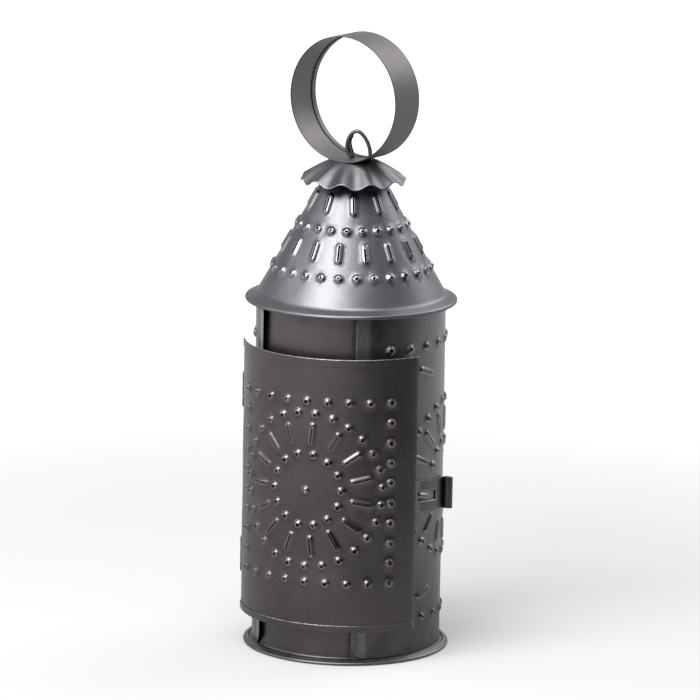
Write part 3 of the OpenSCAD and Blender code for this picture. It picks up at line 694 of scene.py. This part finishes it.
def wheel_places(s):
    """Dots as x and y and spokes as x, y and slant, in millimetres about the wheel's middle."""
    dots = np.concatenate([circle(s.wheel_r, s.wheel_dots, 10 / 3), circle(s.hub_r, s.hub_dots, 1), [[0, 0]]])
    slants = (np.arange(s.spokes) + 0.5) * 2 * math.pi / s.spokes
    spokes = np.stack([s.spoke_r * np.cos(slants), s.spoke_r * np.sin(slants), slants], -1)
    return dots, spokes


def frame_dots():
    """The door's frame of dots as azimuth in degrees and height."""
    half, low, high, row = 46.5, 50.5, 161.0, 9
    across = half * (2 * np.arange(row) / (row - 1) - 1)
    rows = np.concatenate([np.stack([across, np.full(row, z)], -1) for z in (low, high)])
    up = low + np.arange(1, row) * (high - low) / row
    columns = np.concatenate([np.stack([np.full(row - 1, s * half), up], -1) for s in (-1, 1)])
    return np.concatenate([rows, columns])


def strap_line(s, az):
    """Height of the slanting strap's middle line at an azimuth in degrees."""
    return s.strap_z - (np.radians(az) - s.strap_az) * s.strap_r * math.tan(s.strap_tilt)


def wall_places(s, r):
    """The wall's dots and slots as azimuth in degrees, height and slant, but for those under a hinge leaf or
    the strap: two rows all round but for the doorway, and on either side a wheel between four slanting
    slots."""
    start, end, row, heights = 48.2, 304.4, 26, (24.2, 191.0)
    rows = np.array([[start + k * (360 / row), z] for k in range(row) for z in heights])
    rows = rows[rows[:, 0] < end]
    rows[:, 0] = np.where(rows[:, 0] > 180, rows[:, 0] - 360, rows[:, 0])
    wheel, spokes = wheel_places(s)
    dots, slots = [rows], []
    scale = math.degrees(1) / r
    for side in (-1, 1):
        middle = side * math.degrees(s.wheel_az)
        dots.append(wheel * [scale, 1] + [middle, s.wheel_z])
        slots.append(spokes * [scale, 1, 1] + [middle, s.wheel_z, 0])
        slots.append([[middle + a * 28.5, s.wheel_z + b * 68, math.radians(a * b * 20)]
                      for a in (-1, 1) for b in (-1, 1)])

    def free(places):
        """Leaves out the places under a leaf or the strap."""
        az, z = places[:, 0], places[:, 1]
        leaf_az = math.degrees(s.hinge_az) - 7.5
        leaf = (np.abs(az - leaf_az) < 15.5) & (np.abs(np.abs(z - s.hinge_z) - s.hinge_pitch) < 14)
        strap = (az > 56.8) & (az < 111) & (np.abs(z - strap_line(s, az)) < 15.5)
        return places[~(leaf | strap)]

    return free(np.concatenate(dots)), free(np.concatenate(slots))


# Operators

class LANTERN_OT_body_wall(bpy.types.Operator):
    """The punched wall of the body with the strips bent out beside the doorway"""
    bl_idname = "lantern.body_wall"
    bl_label = "Body wall"

    def execute(self, context):
        s = sizes()
        r, wide, clip, z0, z1 = s.wall_d / 2 - s.sheet / 2, s.stile_w, s.stile_clip, s.wall_low, s.wall_high
        right, left = math.degrees(s.doorway_right), 360 - math.degrees(s.doorway_left)
        arc = math.radians(left - right) * r
        far = arc + wide
        cut = Pattern([[-wide + clip, z0], [far - clip, z0], [far, z0 + clip], [far, z1 - clip],
                       [far - clip, z1], [-wide + clip, z1], [-wide, z1 - clip], [-wide, z0 + clip]], 11)
        unrolled = lambda q: np.concatenate([np.radians((q[:, :1] - right) % 360) * r, q[:, 1:]], 1)
        dots, slots = wall_places(s, r)
        cut.dots(unrolled(dots), s.dot_d / 2, s.dot_hole / 2, s.rise)
        cut.slots(unrolled(slots), s.slot_l, s.slot_w, s.slit_w, s.slot_rise)
        ridge_az, ridge_l, ridge_slant = 76.0, 12, -13
        ridge = np.array([[ridge_az, strap_line(s, ridge_az), math.radians(ridge_slant)]])
        cut.slots(unrolled(ridge), ridge_l, s.slot_w - 0.8, 0.3, s.slot_rise, slit_open=False)
        cut.rim(2.5, 0.35)
        up = np.linspace(z0 + 1, z1 - 1, 80)
        for start, way in ((0, 1), (arc, -1)):
            for shift in (-1.2, -0.7, -0.2, 0.3, 0.8, 1.4):
                cut.add(np.stack([np.full(80, start + way * shift), up], -1))
        cut.fill_grid(np.concatenate([np.arange(-wide + 1, -1.6, 1.5), np.arange(2.2, arc - 2.0, 3.0),
                                      np.arange(arc + 1.8, far - 0.8, 1.5)]), np.arange(z0 + 1, z1, 3.0))
        points, rise, worn, faces = cut.cut()
        along, z = points[:, 0], points[:, 1]
        turn, bend = math.degrees(s.stile_flare) + 1.0, 1.0
        course = Course((0, 0), 0, [
            (wide - bend, 0), (bend, -turn), (arc, left - right), (bend, -turn), (wide - bend, 0)])
        plan, side = course.at(along + wide), course.left(along + wide)
        # the course is turned and moved so that its arc runs about the axis from bend to bend
        found, wanted = course.at(np.array([wide, far])), outward(np.radians([right, left])) * r
        headings = [math.atan2(*(ends[1] - ends[0])[::-1]) for ends in (found, wanted)]
        spin = rotation(headings[1] - headings[0]).T
        plan, side = (plan - found[0]) @ spin + wanted[0], side @ spin
        xyz = np.concatenate([plan - side * rise[:, None], z[:, None]], 1)
        swell = wavy(xyz, 0.10, 45, 3) * smooth(along / 12) * smooth((arc - along) / 12)
        xyz[:, :2] -= side * swell[:, None]
        # painted light: the strips are bare rough metal, paler higher up where the light falls; painted shade
        # makes their outer part low down, the wall beside them and the wall toward its foot a darker brown
        past, high_up = np.minimum(along, arc - along), smooth((z - 60) / 80)
        raw = smooth(-past / 1.2) * (0.25 + 0.75 * high_up)
        shade_beside = np.maximum(0.75 * (1 - smooth((past - 4) / 9)), 0.7 * (1 - smooth((z - 12) / 72)))
        stain = smooth((past + 0.4) / 1.5) * shade_beside
        low_strip_shade = 0.7 * smooth((-past - 3.5) / 2) * (1 - high_up)
        stain = np.max([stain, low_strip_shade, -worn], 0)
        marks = {"worn": worn, "raw": raw, "stain": stain, "struck": smooth(rise / 0.9)}
        mesh_piece("body_wall", "lantern", "body_shell", "tin", (xyz, faces, marks), s.sheet)
        return {"FINISHED"}


class LANTERN_OT_door(bpy.types.Operator):
    """The punched curved door with its folded hems"""
    bl_idname = "lantern.door"
    bl_label = "Door"

    def execute(self, context):
        s = sizes()
        r, hem, fold_r = s.door_r + s.sheet / 2, s.hem, 0.3
        half, fold = s.door_half * r, math.pi * fold_r
        # the sheet's course up the door, seen from the side: hem, fold, door, fold, hem
        course = Course((2 * fold_r, s.door_low + hem), -90, [
            (hem - fold_r, 0), (fold, -180), (s.door_h - 2 * fold_r, 0), (fold, -180), (hem - fold_r, 0)])
        start = hem - fold_r + fold
        v0, v1 = start + 1.0, course.length - start - 1.0
        lift = start - (s.door_low + fold_r)
        cut = Pattern([[-half, v0], [half, v0], [half, v1], [-half, v1]], 5)
        wheel, spokes = wheel_places(s)
        around = frame_dots() * [math.radians(1) * r, 1] + [0, lift]
        dots = np.concatenate([wheel + [0, s.wheel_z + lift], around])
        cut.dots(dots, s.dot_d / 2, s.dot_hole / 2, s.rise)
        cut.slots(spokes + [0, s.wheel_z + lift, 0], s.slot_l, s.slot_w, s.slit_w, s.slot_rise)
        cut.rim(2.0, 0.45, joined=(0, 2))
        cut.fill_grid(np.arange(-half, half, 3.0), np.arange(v0 + 1.5, v1 - 1, 3.0))
        across = np.linspace(-half, half, int(math.ceil(2 * half / 2.0)) + 1)
        up = np.concatenate([[0, 0.15, 0.6, 1.5, 2.5], np.linspace(hem - 0.5, start + 0.1, 14), [v0]])
        # the lower hem's raw edge is rubbed bright, with a painted highlight in its middle that fades to the
        # sides, and the upper hem's edge is rubbed a little
        glint_across = 0.3 + 0.7 * smooth((across + 36) / 12) * (1 - smooth((across - 20) / 14))
        lower = glint_across[:, None] * np.where(np.arange(len(up)) < 2, [1, 0.4] + [0] * (len(up) - 2), 0)
        lower[[0, -1]] = np.maximum(lower[[0, -1]], 0.3)
        upper = 0.1 * lower * (np.arange(len(up)) < 3)
        # painted highlight along the upper fold, where the light catches it
        upper[:, 9:15] = 0.4
        points, rise, worn, faces = with_strips(
            cut.cut(), [(across, up, lower), (across, course.length - up[::-1], upper[:, ::-1])])
        az, v = points[:, 0] / r, points[:, 1]
        place, side = course.at(v), course.left(v)
        xyz = np.concatenate([outward(az) * (r + place[:, 0] - side[:, 0] * rise)[:, None], place[:, 1:]], 1)
        swell = wavy(xyz, 0.10, 50, 8) * smooth((v - v0) / 10) * smooth((v1 - v) / 10)
        xyz[:, :2] += outward(az) * swell[:, None]
        marks = {"worn": worn, "stain": -worn, "struck": smooth(rise / 0.9)}
        mesh_piece("door_sheet", "door", "door_panel", "door_tin", (xyz, faces, marks), s.sheet)
        return {"FINISHED"}


class LANTERN_OT_roof(bpy.types.Operator):
    """The punched cone roof with its brim"""
    bl_idname = "lantern.roof"
    bl_label = "Roof"

    def execute(self, context):
        s = sizes()
        bend_r, top_r = s.wall_d / 2 - s.sheet / 2, s.cone_top_d / 2
        edge_r = s.brim_d / 2 - s.sheet / 2 - 0.05
        slant, flare = math.atan((bend_r - top_r) / s.cone_h), math.atan(s.flare)
        side_l, brim, fillet = math.hypot(s.cone_h, bend_r - top_r), (edge_r - bend_r) / math.cos(flare), 2.6
        down, out = math.degrees(slant) - 90, math.degrees(flare)
        # down the cone, out along the brim, and back under it in two bends
        course = Course((top_r, s.bend_z + s.cone_h), down, [
            (side_l - fillet / 2, 0), (fillet, -down - out), (brim - fillet / 2 - 0.55, 0), (0.9, out - 90),
            (0.6, 0), (0.9, -90 - out), (1.9, 0)])
        # the cone laid flat: a place is a distance from the apex and the azimuth times the cone's spread
        apex, spread, length = top_r / math.sin(slant), math.sin(slant), course.length
        to_flat = lambda az, d: np.stack([
            (apex + d) * np.cos(az * spread), (apex + d) * np.sin(az * spread)], -1)
        seam, over = math.pi, math.radians(5)
        edge = np.linspace(-seam, seam + over, 240)
        cut = Pattern(np.concatenate([to_flat(edge, length), to_flat(edge[::-1], 0)]), 23)

        def row(count, height, shift, gap):
            """Places and slants of a row round the cone at a height above the brim, clear of the lap."""
            az = np.radians(np.arange(count) * 360 / count + shift)
            az = np.where(az > seam, az - 2 * math.pi, az)
            az = az[np.abs(np.abs(az) - seam) > math.radians(gap)]
            return np.column_stack([to_flat(az, side_l - height / math.cos(slant)), az * spread])

        dots = np.concatenate([row(28, 16.8, 1, 6), row(22, 42.6, 1, 6)])[:, :2]
        cut.dots(dots, s.dot_d / 2 - 0.1, s.dot_hole / 2, s.rise)
        slots = np.concatenate([row(16, 30.4, 12, 7), row(10, 57.0, 24, 7)])
        cut.slots(slots, s.slot_l - 1, s.slot_w, 1.7 * s.slit_w, s.slot_rise)
        cut.rim(1.6, 0.3)
        bend = side_l - 3
        loose = []
        for d in np.concatenate([np.arange(2, bend, 3.2), np.arange(bend, length - 0.2, 0.42)]):
            count = int((2 * seam + over) * spread * (apex + d) / (2.2 if d < bend else 1.8))
            loose.append(to_flat(np.linspace(-seam, seam + over, count + 2)[1:-1], d))
        cut.fill(np.concatenate(loose), 0.3)
        points, rise, worn, faces = cut.cut()
        d, az = np.hypot(*points.T) - apex, np.arctan2(points[:, 1], points[:, 0]) / spread
        line, side = course.at(d), course.left(d)
        lift = (s.sheet + 0.05) * smooth((np.degrees(az) - 175) / 3)
        line = line + side * (rise + lift * (d < side_l + 4))[:, None]
        xyz = np.concatenate([outward(az) * line[:, :1], line[:, 1:]], 1)
        marks = {"worn": worn, "stain": -worn, "struck": smooth(rise / 0.9)}
        mesh_piece("roof_sheet", "lantern", "roof_cone", "tin", (xyz, faces, marks), s.sheet)
        return {"FINISHED"}


class LANTERN_OT_collars(bpy.types.Operator):
    """The inner collars of the base and the roof, and the base's folded disc"""
    bl_idname = "lantern.collars"
    bl_label = "Collars and base"

    def execute(self, context):
        s = sizes()
        flare, cosine = math.degrees(math.atan(s.flare)), math.cos(math.atan(s.flare))
        r = s.wall_d / 2 - 1.5 * s.sheet - LAP
        step = (s.sheet + LAP) / cosine
        base_r, roof_r = s.base_d / 2 - s.sheet - 0.4, s.brim_d / 2 - s.sheet - 0.6
        base_z = s.base_z - s.flare * (base_r - r)
        roof_z = s.bend_z - s.flare * (roof_r - s.wall_d / 2 + s.sheet / 2) - step
        # each collar runs in along its flange, round the bend and along the wall to its raw edge
        for name, node, edge_r, z, turn, tall, count, lap in (
                ("base_ring", "base_collar", base_r, base_z, flare - 90, 29.0, 48, s.sheet + 0.05),
                ("roof_ring", "roof_collar", roof_r, roof_z, flare + 90, 39.0, 56, -s.sheet - 0.05)):
            run = (edge_r - r) / cosine - 1.0
            course = Course((edge_r, z), 180 - flare, [(run, 0), (2.0, turn), (tall, 0)])
            # painted shade: a dark stripe on each collar at 25.6 and -38 degrees, in the shadowed gap beside
            # a strip
            surface = carried_round(course, np.linspace(0, course.length, count), edge_worn(count, 1),
                                    sweep=364, lap=lap, shade_stripes_at=(25.6, -38.0))
            mesh_piece(name, "lantern", node, "inner_tin", surface, s.sheet)
        # the disc runs out from the middle, up round the flange's edge and in over it
        edge_r = s.base_d / 2 - s.sheet / 2
        rise = s.base_z + step - s.flare * (edge_r - r) - s.sheet / 2 - 0.9
        disc = Course((0.02, s.sheet / 2), 0, [
            (edge_r - 0.02 - 0.45, 0), (0.8, 90), (max(0.05, rise), 0), (0.95, 90 - flare), (2.2, 0)])
        along = np.concatenate([np.linspace(0, edge_r - 2.5, 14), np.linspace(edge_r - 1.6, disc.length, 26)])
        surface = carried_round(disc, along, edge_worn(len(along), 2))
        mesh_piece("base_disc_sheet", "lantern", "base_disc", "tin", surface, s.sheet)
        return {"FINISHED"}


class LANTERN_OT_cap(bpy.types.Operator):
    """The ruffled cap, flat in the middle and fluted toward its edge"""
    bl_idname = "lantern.cap"
    bl_label = "Ruffled cap"

    def execute(self, context):
        s = sizes()
        share = np.concatenate([[-0.999, -0.5, -0.1], np.linspace(0, 1, 26)])
        az = s.flute_az + np.linspace(0, 2 * math.pi, 24 * s.flutes + 1)[:-1]
        t, a = np.meshgrid(share, az, indexing="ij")
        flat_r, edge_r, out = s.cap_flat_d / 2, s.cap_d / 2, np.clip(t, 0, 1)
        r = np.where(t < 0, flat_r * (1 + t), flat_r + out * (edge_r - flat_r))
        wave = np.cos(s.flutes * (a - s.flute_az))
        crease = np.sign(wave) * np.abs(wave) ** 0.9
        z = s.cap_z - s.sheet / 2 - s.cap_fall * out ** 1.15 + s.flute_h / 2 * out * crease
        xyz = np.concatenate([outward(a) * r[..., None], z[..., None]], -1).reshape(-1, 3)
        xyz[:, 2] += wavy(xyz, 0.15, 18, 5) * out.ravel()
        marks = {"worn": np.where(t > 0.97, 0.25, 0.0).ravel()}
        surface = xyz, grid_faces(*t.shape, close_columns=True), marks
        mesh_piece("ruffled_cap", "lantern", "ruffle_cap", "cap_tin", surface, s.sheet)
        return {"FINISHED"}


class LANTERN_OT_ring(bpy.types.Operator):
    """The flat band bent into a ring, with a hem folded in along its rear edge"""
    bl_idname = "lantern.ring"
    bl_label = "Ring handle"

    def execute(self, context):
        s = sizes()
        hem, inset, fold_r = s.band_hem, 0.53, 0.28
        # from the hem's raw edge out to the rear edge, round the fold and across to the near edge
        section = Course((s.band_w / 2 - hem, -2 * fold_r), 0, [
            (hem - inset, 0), (math.pi * fold_r, 180), (s.band_w - inset, 0)])
        end = section.length
        along = np.concatenate([[0, 0.15, 1.2, 2.4], np.linspace(hem - 0.6, hem + 0.5, 12),
                                np.linspace(hem + 1.5, end - 1.0, 12), [end - 0.15, end]])
        across, out = section.at(along).T
        a = np.linspace(0, 2 * math.pi, 257)[:-1, None]
        radius = s.ring_d / 2 - s.sheet / 2 + out
        plan = np.stack([radius * np.sin(a), across + 0 * a], -1) @ rotation(s.ring_turn).T
        xyz = np.concatenate([plan, (s.ring_z - radius * np.cos(a))[..., None]], -1)
        faces = grid_faces(len(a), len(along), close_rows=True)[:, ::-1]
        # painted shade: a dark line along both edges of the band, for the shadowed gap under the hem and the
        # edges
        edges = np.isin(np.arange(len(along)), (0, 1, len(along) - 2, len(along) - 1))
        surface = xyz.reshape(-1, 3), faces, {"stain": np.tile(0.7 * edges, len(a))}
        mesh_piece("ring_band", "lantern", "ring_handle", "ring_tin", surface, s.sheet)
        return {"FINISHED"}


class LANTERN_OT_eye(bpy.types.Operator):
    """The wire eye that holds the ring on the cap"""
    bl_idname = "lantern.eye"
    bl_label = "Wire eye"

    def execute(self, context):
        s = sizes()
        wire, leg, bend = s.wire_d / 2, s.leg_pitch / 2, 1.8
        band = s.ring_z - s.ring_d / 2 + s.sheet
        low, foot, top, lean = s.cap_z - s.sheet - 0.3 - wire, band + 2, band + s.eye_h + wire, -2.2
        # the loop: a leg bent over below the cap, up, over the leaning top, down, and the other leg
        steps = np.linspace(0, 1, 40)
        loop = np.concatenate([
            [[-leg - 3.4, low], [-leg - bend, low], [-leg - 0.5, low + 0.5], [-leg, low + bend]],
            cubic([-leg, foot], [-leg - 5, foot + 3.5], [lean - 5.2, top], [lean, top], steps),
            cubic([lean, top], [lean + 3.2, top], [leg + 0.6, foot + 7.5], [leg, foot], steps)[1:],
            [[leg, low + bend], [leg - 0.5, low + 0.5], [leg - bend, low], [leg - 3.4, low]]])
        # the wire's second end climbs beside the loop, 1 mm behind it
        end = [-leg, band] + np.array([
            [1.0, 0.9], [0.9, 3.0], [-0.3, 6.4], [-1.0, 9.6], [-0.6, 12.2], [0.4, 14.2]])
        for name, flat, behind in (("wire_eye_loop", Bent(loop, 1.0, 0.25).xy, 0.0),
                                   ("wire_eye_end", rounded(end, 40), 1.0)):
            plan = np.stack([flat[:, 0] + s.eye_shift, np.full(len(flat), behind)], -1)
            plan = plan @ rotation(s.eye_turn).T
            path = np.concatenate([plan, flat[:, 1:]], 1)
            mesh_piece(name, "lantern", "wire_eye", "wire", tube_along(path, wire))
        return {"FINISHED"}


class LANTERN_OT_latch(bpy.types.Operator):
    """The slotted latch strap with its rolled curl"""
    bl_idname = "lantern.latch"
    bl_label = "Latch strap"

    def execute(self, context):
        s = sizes()
        curl_az, tab_r, slot_az, slot_half_l, slot_half_w = 99, 63.05, 78.5, 10.75, 3.0
        at = lambda radius, az: radius * outward(np.radians(az))
        tab, lie = at(tab_r, np.linspace(50.8, 59.8, 7)), at(s.strap_r, np.linspace(71.8, curl_az, 20))
        out = at(1, curl_az)
        way = np.array([-out[1], out[0]])
        leave = lie[-1] + 5 * way
        roll, a = 3.15 - s.sheet / 2, np.radians(np.linspace(0, 325, 50))[1:, None]
        curl = leave + roll * out + roll * (way * np.sin(a) - out * np.cos(a))
        line = Bent(np.concatenate([tab, lie, [leave], curl]), 0.9)
        middle = outward(s.strap_az)
        across = np.array([-middle[1], middle[0]])
        height_of = lambda plan, v: s.strap_z - (plan @ across) * math.tan(s.strap_tilt) + v
        half, end = s.strap_w / 2 / math.cos(s.strap_tilt), line.length - 0.05
        near = np.argmin(np.linalg.norm(line.xy - at(s.strap_r, slot_az), axis=1))
        surface = bent_plate(line, [[0.05, -half], [end, -half], [end, half], [0.05, half]],
                             [(line.s[near], 0, slot_half_l, slot_half_w)], height_of)
        mesh_piece("latch_sheet", "door", "latch_strap", "dark_tin", surface, s.sheet)
        return {"FINISHED"}


class LANTERN_OT_hinges(bpy.types.Operator):
    """The two hinges, each of two leaves rolled round a pin with round heads"""
    bl_idname = "lantern.hinges"
    bl_label = "Hinges"

    def execute(self, context):
        s = sizes()
        az, tall, roll, knuckle = s.hinge_az, s.hinge_h, 1.5, 6
        out, along = outward(az), np.array([math.cos(az), math.sin(az)])
        by = lambda x, y: s.hinge_r * out + np.multiply.outer(x, along) + np.multiply.outer(y, out)

        def leaf(turns, past, radius, azimuths, clear):
            """A leaf's line in plan, rolled round the pin and then flat along the sheet, and the distance
            along it at which it is clear of the other leaf's knuckles."""
            a = np.radians(np.linspace(*turns, 44))
            line = Bent(np.concatenate([
                by(roll * np.cos(a), roll * np.sin(a)), [by(*past)],
                radius * outward(np.radians(np.linspace(*azimuths, 12)))]), 0.6, 0.05)
            near = np.linalg.norm(line.xy - s.hinge_r * out, axis=1) < clear
            return line, line.s[np.flatnonzero(near)[-1]]

        door_line, u = leaf((20, -268), (1.9, 1.05), 63.15, (-63.2, -48.2), 3.3)
        end, upper = door_line.length - 0.05, tall - knuckle
        tongue = [[0.05, knuckle], [u, knuckle], [u, 0], [end, 0], [end, tall], [u, tall], [u, upper],
                  [0.05, upper]]
        wall_line, u = leaf((-110, 180), (-1.45, -3.1), 57.5, (-71, -86), 4.0)
        end, lower, upper = wall_line.length - 0.05, knuckle - 0.4, tall - knuckle + 0.4
        fork = [[0.05, 0], [end, 0], [end, tall], [0.05, tall], [0.05, upper], [u, upper], [u, lower],
                [0.05, lower]]
        for level, sign in (("upper", 1), ("lower", -1)):
            low = s.hinge_z + sign * s.hinge_pitch - tall / 2
            height_of = lambda plan, v: low + v
            for name, body, node, line, outline in (
                    ("_door_leaf", "door", "_hinge_door_leaf", door_line, tongue),
                    ("_wall_leaf", "lantern", "_hinge_body_leaf", wall_line, fork)):
                surface = bent_plate(line, outline, [], height_of)
                mesh_piece(level + name, body, level + node, "dark_tin", surface, s.sheet)
            head = [(0.42, 0), (0.01, 90), (0.25, 0), (0.6, 90), (1.25, 0)]
            foot = [(1.25, 0), (0.6, 90), (0.25, 0), (0.01, 90), (0.42, 0)]
            shank = [(0.01, -90), (tall + 0.2, 0), (0.01, -90)]
            pin = Course((0.02, low - 0.7), 0, foot + shank + head, 0.02)
            points, faces, marks = carried_round(pin, np.linspace(0, pin.length, 120), steps=32)
            points[:, :2] += s.hinge_r * out
            mesh_piece(level + "_pin_round", "lantern", level + "_hinge_pin", "wire", (points, faces, marks))
        return {"FINISHED"}


class LANTERN_OT_candle_holder(bpy.types.Operator):
    """The drip pan with its flared rim, and the candle cup on it"""
    bl_idname = "lantern.candle_holder"
    bl_label = "Candle holder"

    def execute(self, context):
        s = sizes()
        rim, floor = s.pan_d / 2 - s.sheet / 2, 1.5 * s.sheet + LAP
        pan = Bent([[0.02, floor], [rim - s.pan_h + 1, floor], [rim, s.sheet + LAP + s.pan_h]], 1.6)
        r, low = s.cup_bore / 2 + s.sheet / 2, 2 * (s.sheet + LAP) + s.sheet / 2
        cup = Bent([[0.02, low], [r, low], [r, low + s.cup_depth + s.sheet / 2]], 0.8)
        for name, node, line, count, steps in (
                ("drip_dish", "drip_pan", pan, 40, 240), ("candle_socket", "candle_cup", cup, 60, 96)):
            surface = carried_round(line, np.linspace(0, line.length, count), steps=steps)
            mesh_piece(name, "lantern", node, "inner_tin", surface, s.sheet)
        return {"FINISHED"}


def staged(name, points, faces, finish):
    """Makes a plain mesh of the stage from points in metres."""
    mesh = bpy.data.meshes.new(name)
    mesh.from_pydata(points, [], faces)
    mesh.materials.append(finish)
    made = bpy.data.objects.new(name, mesh)
    bpy.context.scene.collection.objects.link(made)
    return made


def placed(name, data, place, x, y, z):
    """Puts a lamp or the camera at a place in metres, with its own axes along x, y and z."""
    made = bpy.data.objects.new(name, data)
    made.matrix_world = Matrix([*np.stack([x, y, z, place], 1).tolist(), [0, 0, 0, 1]])
    bpy.context.scene.collection.objects.link(made)
    return made


def softbox(name, az, elevation, distance, wide, tall, power):
    """A soft area lamp aimed at the lantern's middle from an azimuth and an elevation in degrees."""
    lamp = bpy.data.lights.new(name, "AREA")
    lamp.shape = "RECTANGLE"
    lamp.size, lamp.size_y, lamp.energy = wide, tall, power
    a, e = math.radians(az), math.radians(elevation)
    z = np.array([math.sin(a) * math.cos(e), -math.cos(a) * math.cos(e), math.sin(e)])
    x = np.cross([0, 0, 1], z)
    x /= np.linalg.norm(x)
    placed(name, lamp, z * distance + [0, 0, 0.18], x, np.cross(z, x), z)


class LANTERN_OT_studio(bpy.types.Operator):
    """The pale floor, the soft lamps and the camera"""
    bl_idname = "lantern.studio"
    bl_label = "Studio"

    def execute(self, context):
        scene = context.scene
        # matt paper, whose own white grows with the distance from the lantern, out of the lamps' reach
        pale = bpy.data.materials.new("pale_paper")
        tree = empty_tree(pale)
        paper = add_node(tree, "BsdfDiffuse", {"Color": (*hex_rgb("#959595"), 1)})
        seen = add_node(tree, "LightPath", output="Is Camera Ray")
        for kind in ("Is Transmission Ray", "Is Glossy Ray"):
            ray = add_node(tree, "LightPath", output=kind)
            seen = add_node(tree, "Math", {0: seen, 1: ray}, operation="MAXIMUM")
        place = add_node(tree, "TexCoord", output="Object")
        away = add_node(tree, "VectorMath", {0: place}, "Value", operation="LENGTH")
        white = add_node(tree, "MapRange", {
            "Value": away, "From Min": 0.3, "From Max": 1.3, "To Min": 0.2, "To Max": 1.0},
            interpolation_type="SMOOTHSTEP")
        dim = add_node(tree, "Math", {0: seen, 1: white}, operation="MULTIPLY")
        glow = add_node(tree, "Emission", {"Color": (1, 1, 1, 1), "Strength": dim})
        both = add_node(tree, "AddShader", {0: paper, 1: glow})
        add_node(tree, "OutputMaterial", {"Surface": both})
        staged("floor", [(-30, -30, 0), (30, -30, 0), (30, 30, 0), (-30, 30, 0)], [(0, 1, 2, 3)], pale)

        scene.world = bpy.data.worlds.new("studio")
        tree = empty_tree(scene.world)
        room = add_node(tree, "Background", {"Color": (*hex_rgb("#f2f4f8"), 1), "Strength": 0.7})
        add_node(tree, "OutputWorld", {"Surface": room})

        # a dark card beside the camera, which only reflections see
        felt = bpy.data.materials.new("dark_felt")
        tree = empty_tree(felt)
        matt = add_node(tree, "BsdfDiffuse", {"Color": (*hex_rgb("#2a2826"), 1)})
        add_node(tree, "OutputMaterial", {"Surface": matt})
        card_r, card_h, count = 0.5, 0.42, 20
        arc = card_r * outward(np.radians(np.linspace(26, 102, count)))
        spots = [[x, y, z] for z in (0, card_h) for x, y in arc.tolist()]
        faces = [(k, k + 1, k + 1 + count, k + count) for k in range(count - 1)]
        card = staged("dark_card", spots, faces, felt)
        card.visible_camera = card.visible_shadow = card.visible_diffuse = card.visible_transmission = False

        softbox("key_lamp", -18, 42, 1.6, 1.1, 0.6, 36)
        softbox("top_lamp", 0, 75, 1.6, 0.9, 0.9, 28)
        softbox("rear_lamp", 150, 38, 1.8, 1.2, 1.2, 20)
        softbox("left_lamp", -72, 18, 1.6, 0.5, 0.7, 5)

        # the fitted camera: its angles, its distance in metres from a point on the axis, its focal length and
        # the pixel of that point, for a picture 700 pixels wide and high
        pitch, roll, turn = math.radians(11.27), math.radians(1.01), math.radians(23.3)
        distance, aim_z, picture, focal, middle = 3.5, 0.22337, 700, 5822.4, (351.61, 279.99)
        right = np.array([math.cos(turn), math.sin(turn), 0])
        ahead = np.array([
            -math.sin(turn) * math.cos(pitch), math.cos(turn) * math.cos(pitch), -math.sin(pitch)])
        up = np.cross(right, ahead)
        x = right * math.cos(roll) + up * math.sin(roll)
        y = up * math.cos(roll) - right * math.sin(roll)
        aim = ahead * focal + x * (picture / 2 - middle[0]) - y * (picture / 2 - middle[1])
        z = -aim / np.linalg.norm(aim)
        x = x - z * np.dot(x, z)
        x /= np.linalg.norm(x)
        camera = bpy.data.cameras.new("camera")
        camera.sensor_width = 36
        camera.lens = 36 * focal / picture
        camera.clip_end = 100
        place = np.array([0, 0, aim_z]) - ahead * distance
        scene.camera = placed("camera", camera, place, x, np.cross(z, x), z)
        scene.view_settings.view_transform = "Standard"
        return {"FINISHED"}


class LANTERN_PT_panel(bpy.types.Panel):
    """Lists the lantern's pieces in the order in which they are made"""
    bl_label = "Punched tin lantern"
    bl_idname = "LANTERN_PT_panel"
    bl_space_type = "VIEW_3D"
    bl_region_type = "UI"
    bl_category = "Lantern"

    def draw(self, context):
        for kind in PIECES:
            self.layout.operator(kind.bl_idname)
        for name in GROUPS:
            box = self.layout.box()
            group = getattr(context.scene, name)
            for key in group.__annotations__:
                box.prop(group, key)


PIECES = (LANTERN_OT_body_wall, LANTERN_OT_door, LANTERN_OT_roof, LANTERN_OT_collars, LANTERN_OT_cap,
          LANTERN_OT_ring, LANTERN_OT_eye, LANTERN_OT_latch, LANTERN_OT_hinges, LANTERN_OT_candle_holder,
          LANTERN_OT_studio)
GROUPS = {"lantern_sizes": LanternSizes, "lantern_punches": LanternPunches, "lantern_finish": LanternFinish}


def register():
    for kind in (*GROUPS.values(), *PIECES, LANTERN_PT_panel):
        bpy.utils.register_class(kind)
    for name, kind in GROUPS.items():
        setattr(bpy.types.Scene, name, bpy.props.PointerProperty(type=kind))


def unregister():
    for name in GROUPS:
        delattr(bpy.types.Scene, name)
    for kind in (LANTERN_PT_panel, *reversed(PIECES), *GROUPS.values()):
        bpy.utils.unregister_class(kind)


def main():
    """Makes every piece in order."""
    register()
    for kind in PIECES:
        group, name = kind.bl_idname.split(".")
        getattr(getattr(bpy.ops, group), name)()


if __name__ == "__main__":
    main()
